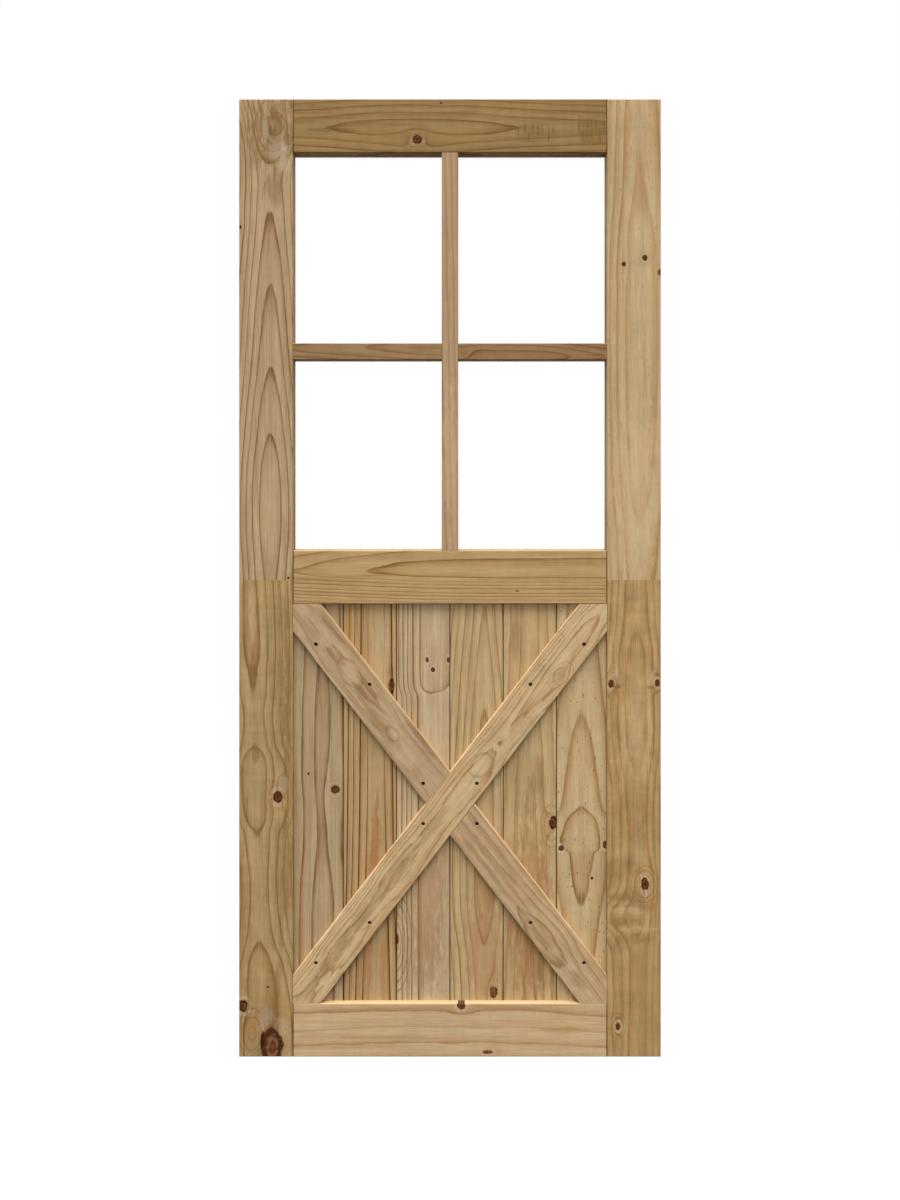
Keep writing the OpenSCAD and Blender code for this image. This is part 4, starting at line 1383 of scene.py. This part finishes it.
class DOOR_OT_pins(bpy.types.Operator):
    """Give the bead pins their bright drawn steel"""
    bl_idname = "barn_door.pins"
    bl_label = "Bead pins"

    def execute(self, context):
        pin = context.scene.barn_door_fastening.pin
        material, w, surface = new_material("pin_steel")
        place, _ = object_millimetres(w)
        drawn = w.stretched_noise(place, PIN_DRAW_SCALE)
        w.feed(surface["Base Color"], w.mix(w.remap(drawn, *PIN_DULL_RAMP), pin, PIN_DULL_COLOR))
        w.feed(surface["Roughness"], w.remap(drawn, *PIN_ROUGHNESS_RAMP))
        w.feed(surface["Normal"], bump(w, drawn, PIN_DRAW_DEPTH))
        surface["Metallic"].default_value = 1.0
        dress("bead_pins", material)
        return {"FINISHED"}


# Stage, in metres but for the sensor

SENSOR_MM = 36.0
FAR_CLIP = 100.0
LAMP_PLACE = (0.0, -2.0, 4.0)
SIDES_TO_CEILING = (-0.1, 0.8)
FLOOR_HALF = 12.0
FLOOR_CORNERS = ((-1, -1), (1, -1), (1, 1), (-1, 1))


def seen_directly(w):
    """1 for rays from the lens, a reflection or a pane; 0 for rays that carry light to a surface."""
    path = w.node("ShaderNodeLightPath").outputs
    shown = w.math("MAXIMUM", path["Is Camera Ray"], path["Is Glossy Ray"])
    return w.math("MAXIMUM", shown, path["Is Transmission Ray"])


def make_camera(scene, stage):
    """The lens straight in front of the leaf; the picture's long side is upright."""
    data = bpy.data.cameras.new("camera")
    data.sensor_width = SENSOR_MM
    data.lens = SENSOR_MM * stage.camera_distance / stage.view_height
    data.shift_y = (stage.aim_height - stage.camera_height) / stage.view_height
    data.clip_end = FAR_CLIP
    camera = bpy.data.objects.new("camera", data)
    camera.location = (0.0, CAD_BOX[0].y - stage.camera_distance, stage.camera_height)
    camera.rotation_euler = (math.pi / 2, 0.0, 0.0)
    scene.collection.objects.link(camera)
    scene.camera = camera


def make_light(scene, stage):
    """One wide soft light from above and in front, in a room whose sides are brighter than its ceiling."""
    data = bpy.data.lights.new("overhead", "SUN")
    data.energy = stage.key_strength
    data.angle = stage.key_spread
    lamp = bpy.data.objects.new("overhead", data)
    lamp.rotation_euler = (math.pi / 2 - stage.key_height, 0.0, 0.0)
    lamp.location = LAMP_PLACE
    scene.collection.objects.link(lamp)

    world = bpy.data.worlds.new("studio")
    w = cleared_wiring(world)
    height = w.split(w.node("ShaderNodeTexCoord").outputs["Generated"])[2]
    room = w.node("ShaderNodeBackground")
    room.inputs["Color"].default_value = WHITE
    w.feed(room.inputs["Strength"], w.remap(height, *SIDES_TO_CEILING, stage.fill_level, stage.fill_above))
    backdrop = w.node("ShaderNodeBackground")
    backdrop.inputs["Color"].default_value = WHITE
    chosen = w.node("ShaderNodeMixShader")
    w.feed(chosen.inputs[0], seen_directly(w))
    w.feed(chosen.inputs[1], room.outputs["Background"])
    w.feed(chosen.inputs[2], backdrop.outputs["Background"])
    output = w.node("ShaderNodeOutputWorld")
    w.feed(output.inputs["Surface"], chosen.outputs["Shader"])
    scene.world = world


def make_floor(scene, stage):
    """A plain pale floor under the leaf: white in the picture, with the leaf's shadow on it."""
    foot = CAD_BOX[0].z
    mesh = bpy.data.meshes.new("floor")
    mesh.from_pydata([(x * FLOOR_HALF, y * FLOOR_HALF, foot) for x, y in FLOOR_CORNERS], [], [(0, 1, 2, 3)])
    floor = bpy.data.objects.new("floor", mesh)
    scene.collection.objects.link(floor)

    material = bpy.data.materials.new("pale_floor")
    w = cleared_wiring(material)
    matt = w.node("ShaderNodeBsdfDiffuse")
    matt.inputs["Color"].default_value = (stage.floor_return,) * 3 + (1.0,)
    glow = w.node("ShaderNodeEmission")
    w.feed(glow.inputs["Strength"], seen_directly(w) * stage.floor_glow)
    both = w.node("ShaderNodeAddShader")
    w.feed(both.inputs[0], matt.outputs["BSDF"])
    w.feed(both.inputs[1], glow.outputs["Emission"])
    output = w.node("ShaderNodeOutputMaterial")
    w.feed(output.inputs["Surface"], both.outputs["Shader"])
    mesh.materials.append(material)


class DOOR_OT_stage(bpy.types.Operator):
    """Set up the camera, the light and the floor"""
    bl_idname = "barn_door.stage"
    bl_label = "Stage"

    def execute(self, context):
        scene = context.scene
        stage = scene.barn_door_stage
        make_camera(scene, stage)
        make_light(scene, stage)
        make_floor(scene, stage)
        scene.view_settings.view_transform = "Standard"
        return {"FINISHED"}


# Add-on

OPERATORS = (
    DOOR_OT_frame_boards, DOOR_OT_glazing_bars, DOOR_OT_planks, DOOR_OT_brace, DOOR_OT_beads,
    DOOR_OT_dowels, DOOR_OT_panes, DOOR_OT_tape, DOOR_OT_screws, DOOR_OT_pins, DOOR_OT_stage,
)


class DOOR_PT_panel(bpy.types.Panel):
    """Lists the steps that dress the leaf"""
    bl_idname = "DOOR_PT_panel"
    bl_label = "Barn door"
    bl_space_type = "VIEW_3D"
    bl_region_type = "UI"
    bl_category = SIDEBAR_TAB

    def draw(self, context):
        for step in OPERATORS:
            self.layout.operator(step.bl_idname)


CLASSES = SETTINGS + OPERATORS + (DOOR_PT_panel,)


def register():
    for cls in CLASSES:
        bpy.utils.register_class(cls)
    bpy.types.Scene.barn_door_pine = bpy.props.PointerProperty(type=PineSettings)
    bpy.types.Scene.barn_door_glazing = bpy.props.PointerProperty(type=GlazingSettings)
    bpy.types.Scene.barn_door_fastening = bpy.props.PointerProperty(type=FasteningSettings)
    bpy.types.Scene.barn_door_stage = bpy.props.PointerProperty(type=StageSettings)


def unregister():
    del bpy.types.Scene.barn_door_stage
    del bpy.types.Scene.barn_door_fastening
    del bpy.types.Scene.barn_door_glazing
    del bpy.types.Scene.barn_door_pine
    for cls in reversed(CLASSES):
        bpy.utils.unregister_class(cls)


def main():
    register()
    bpy.ops.barn_door.frame_boards()
    bpy.ops.barn_door.glazing_bars()
    bpy.ops.barn_door.planks()
    bpy.ops.barn_door.brace()
    bpy.ops.barn_door.beads()
    bpy.ops.barn_door.dowels()
    bpy.ops.barn_door.panes()
    bpy.ops.barn_door.tape()
    bpy.ops.barn_door.screws()
    bpy.ops.barn_door.pins()
    bpy.ops.barn_door.stage()


if __name__ == "__main__":
    main()
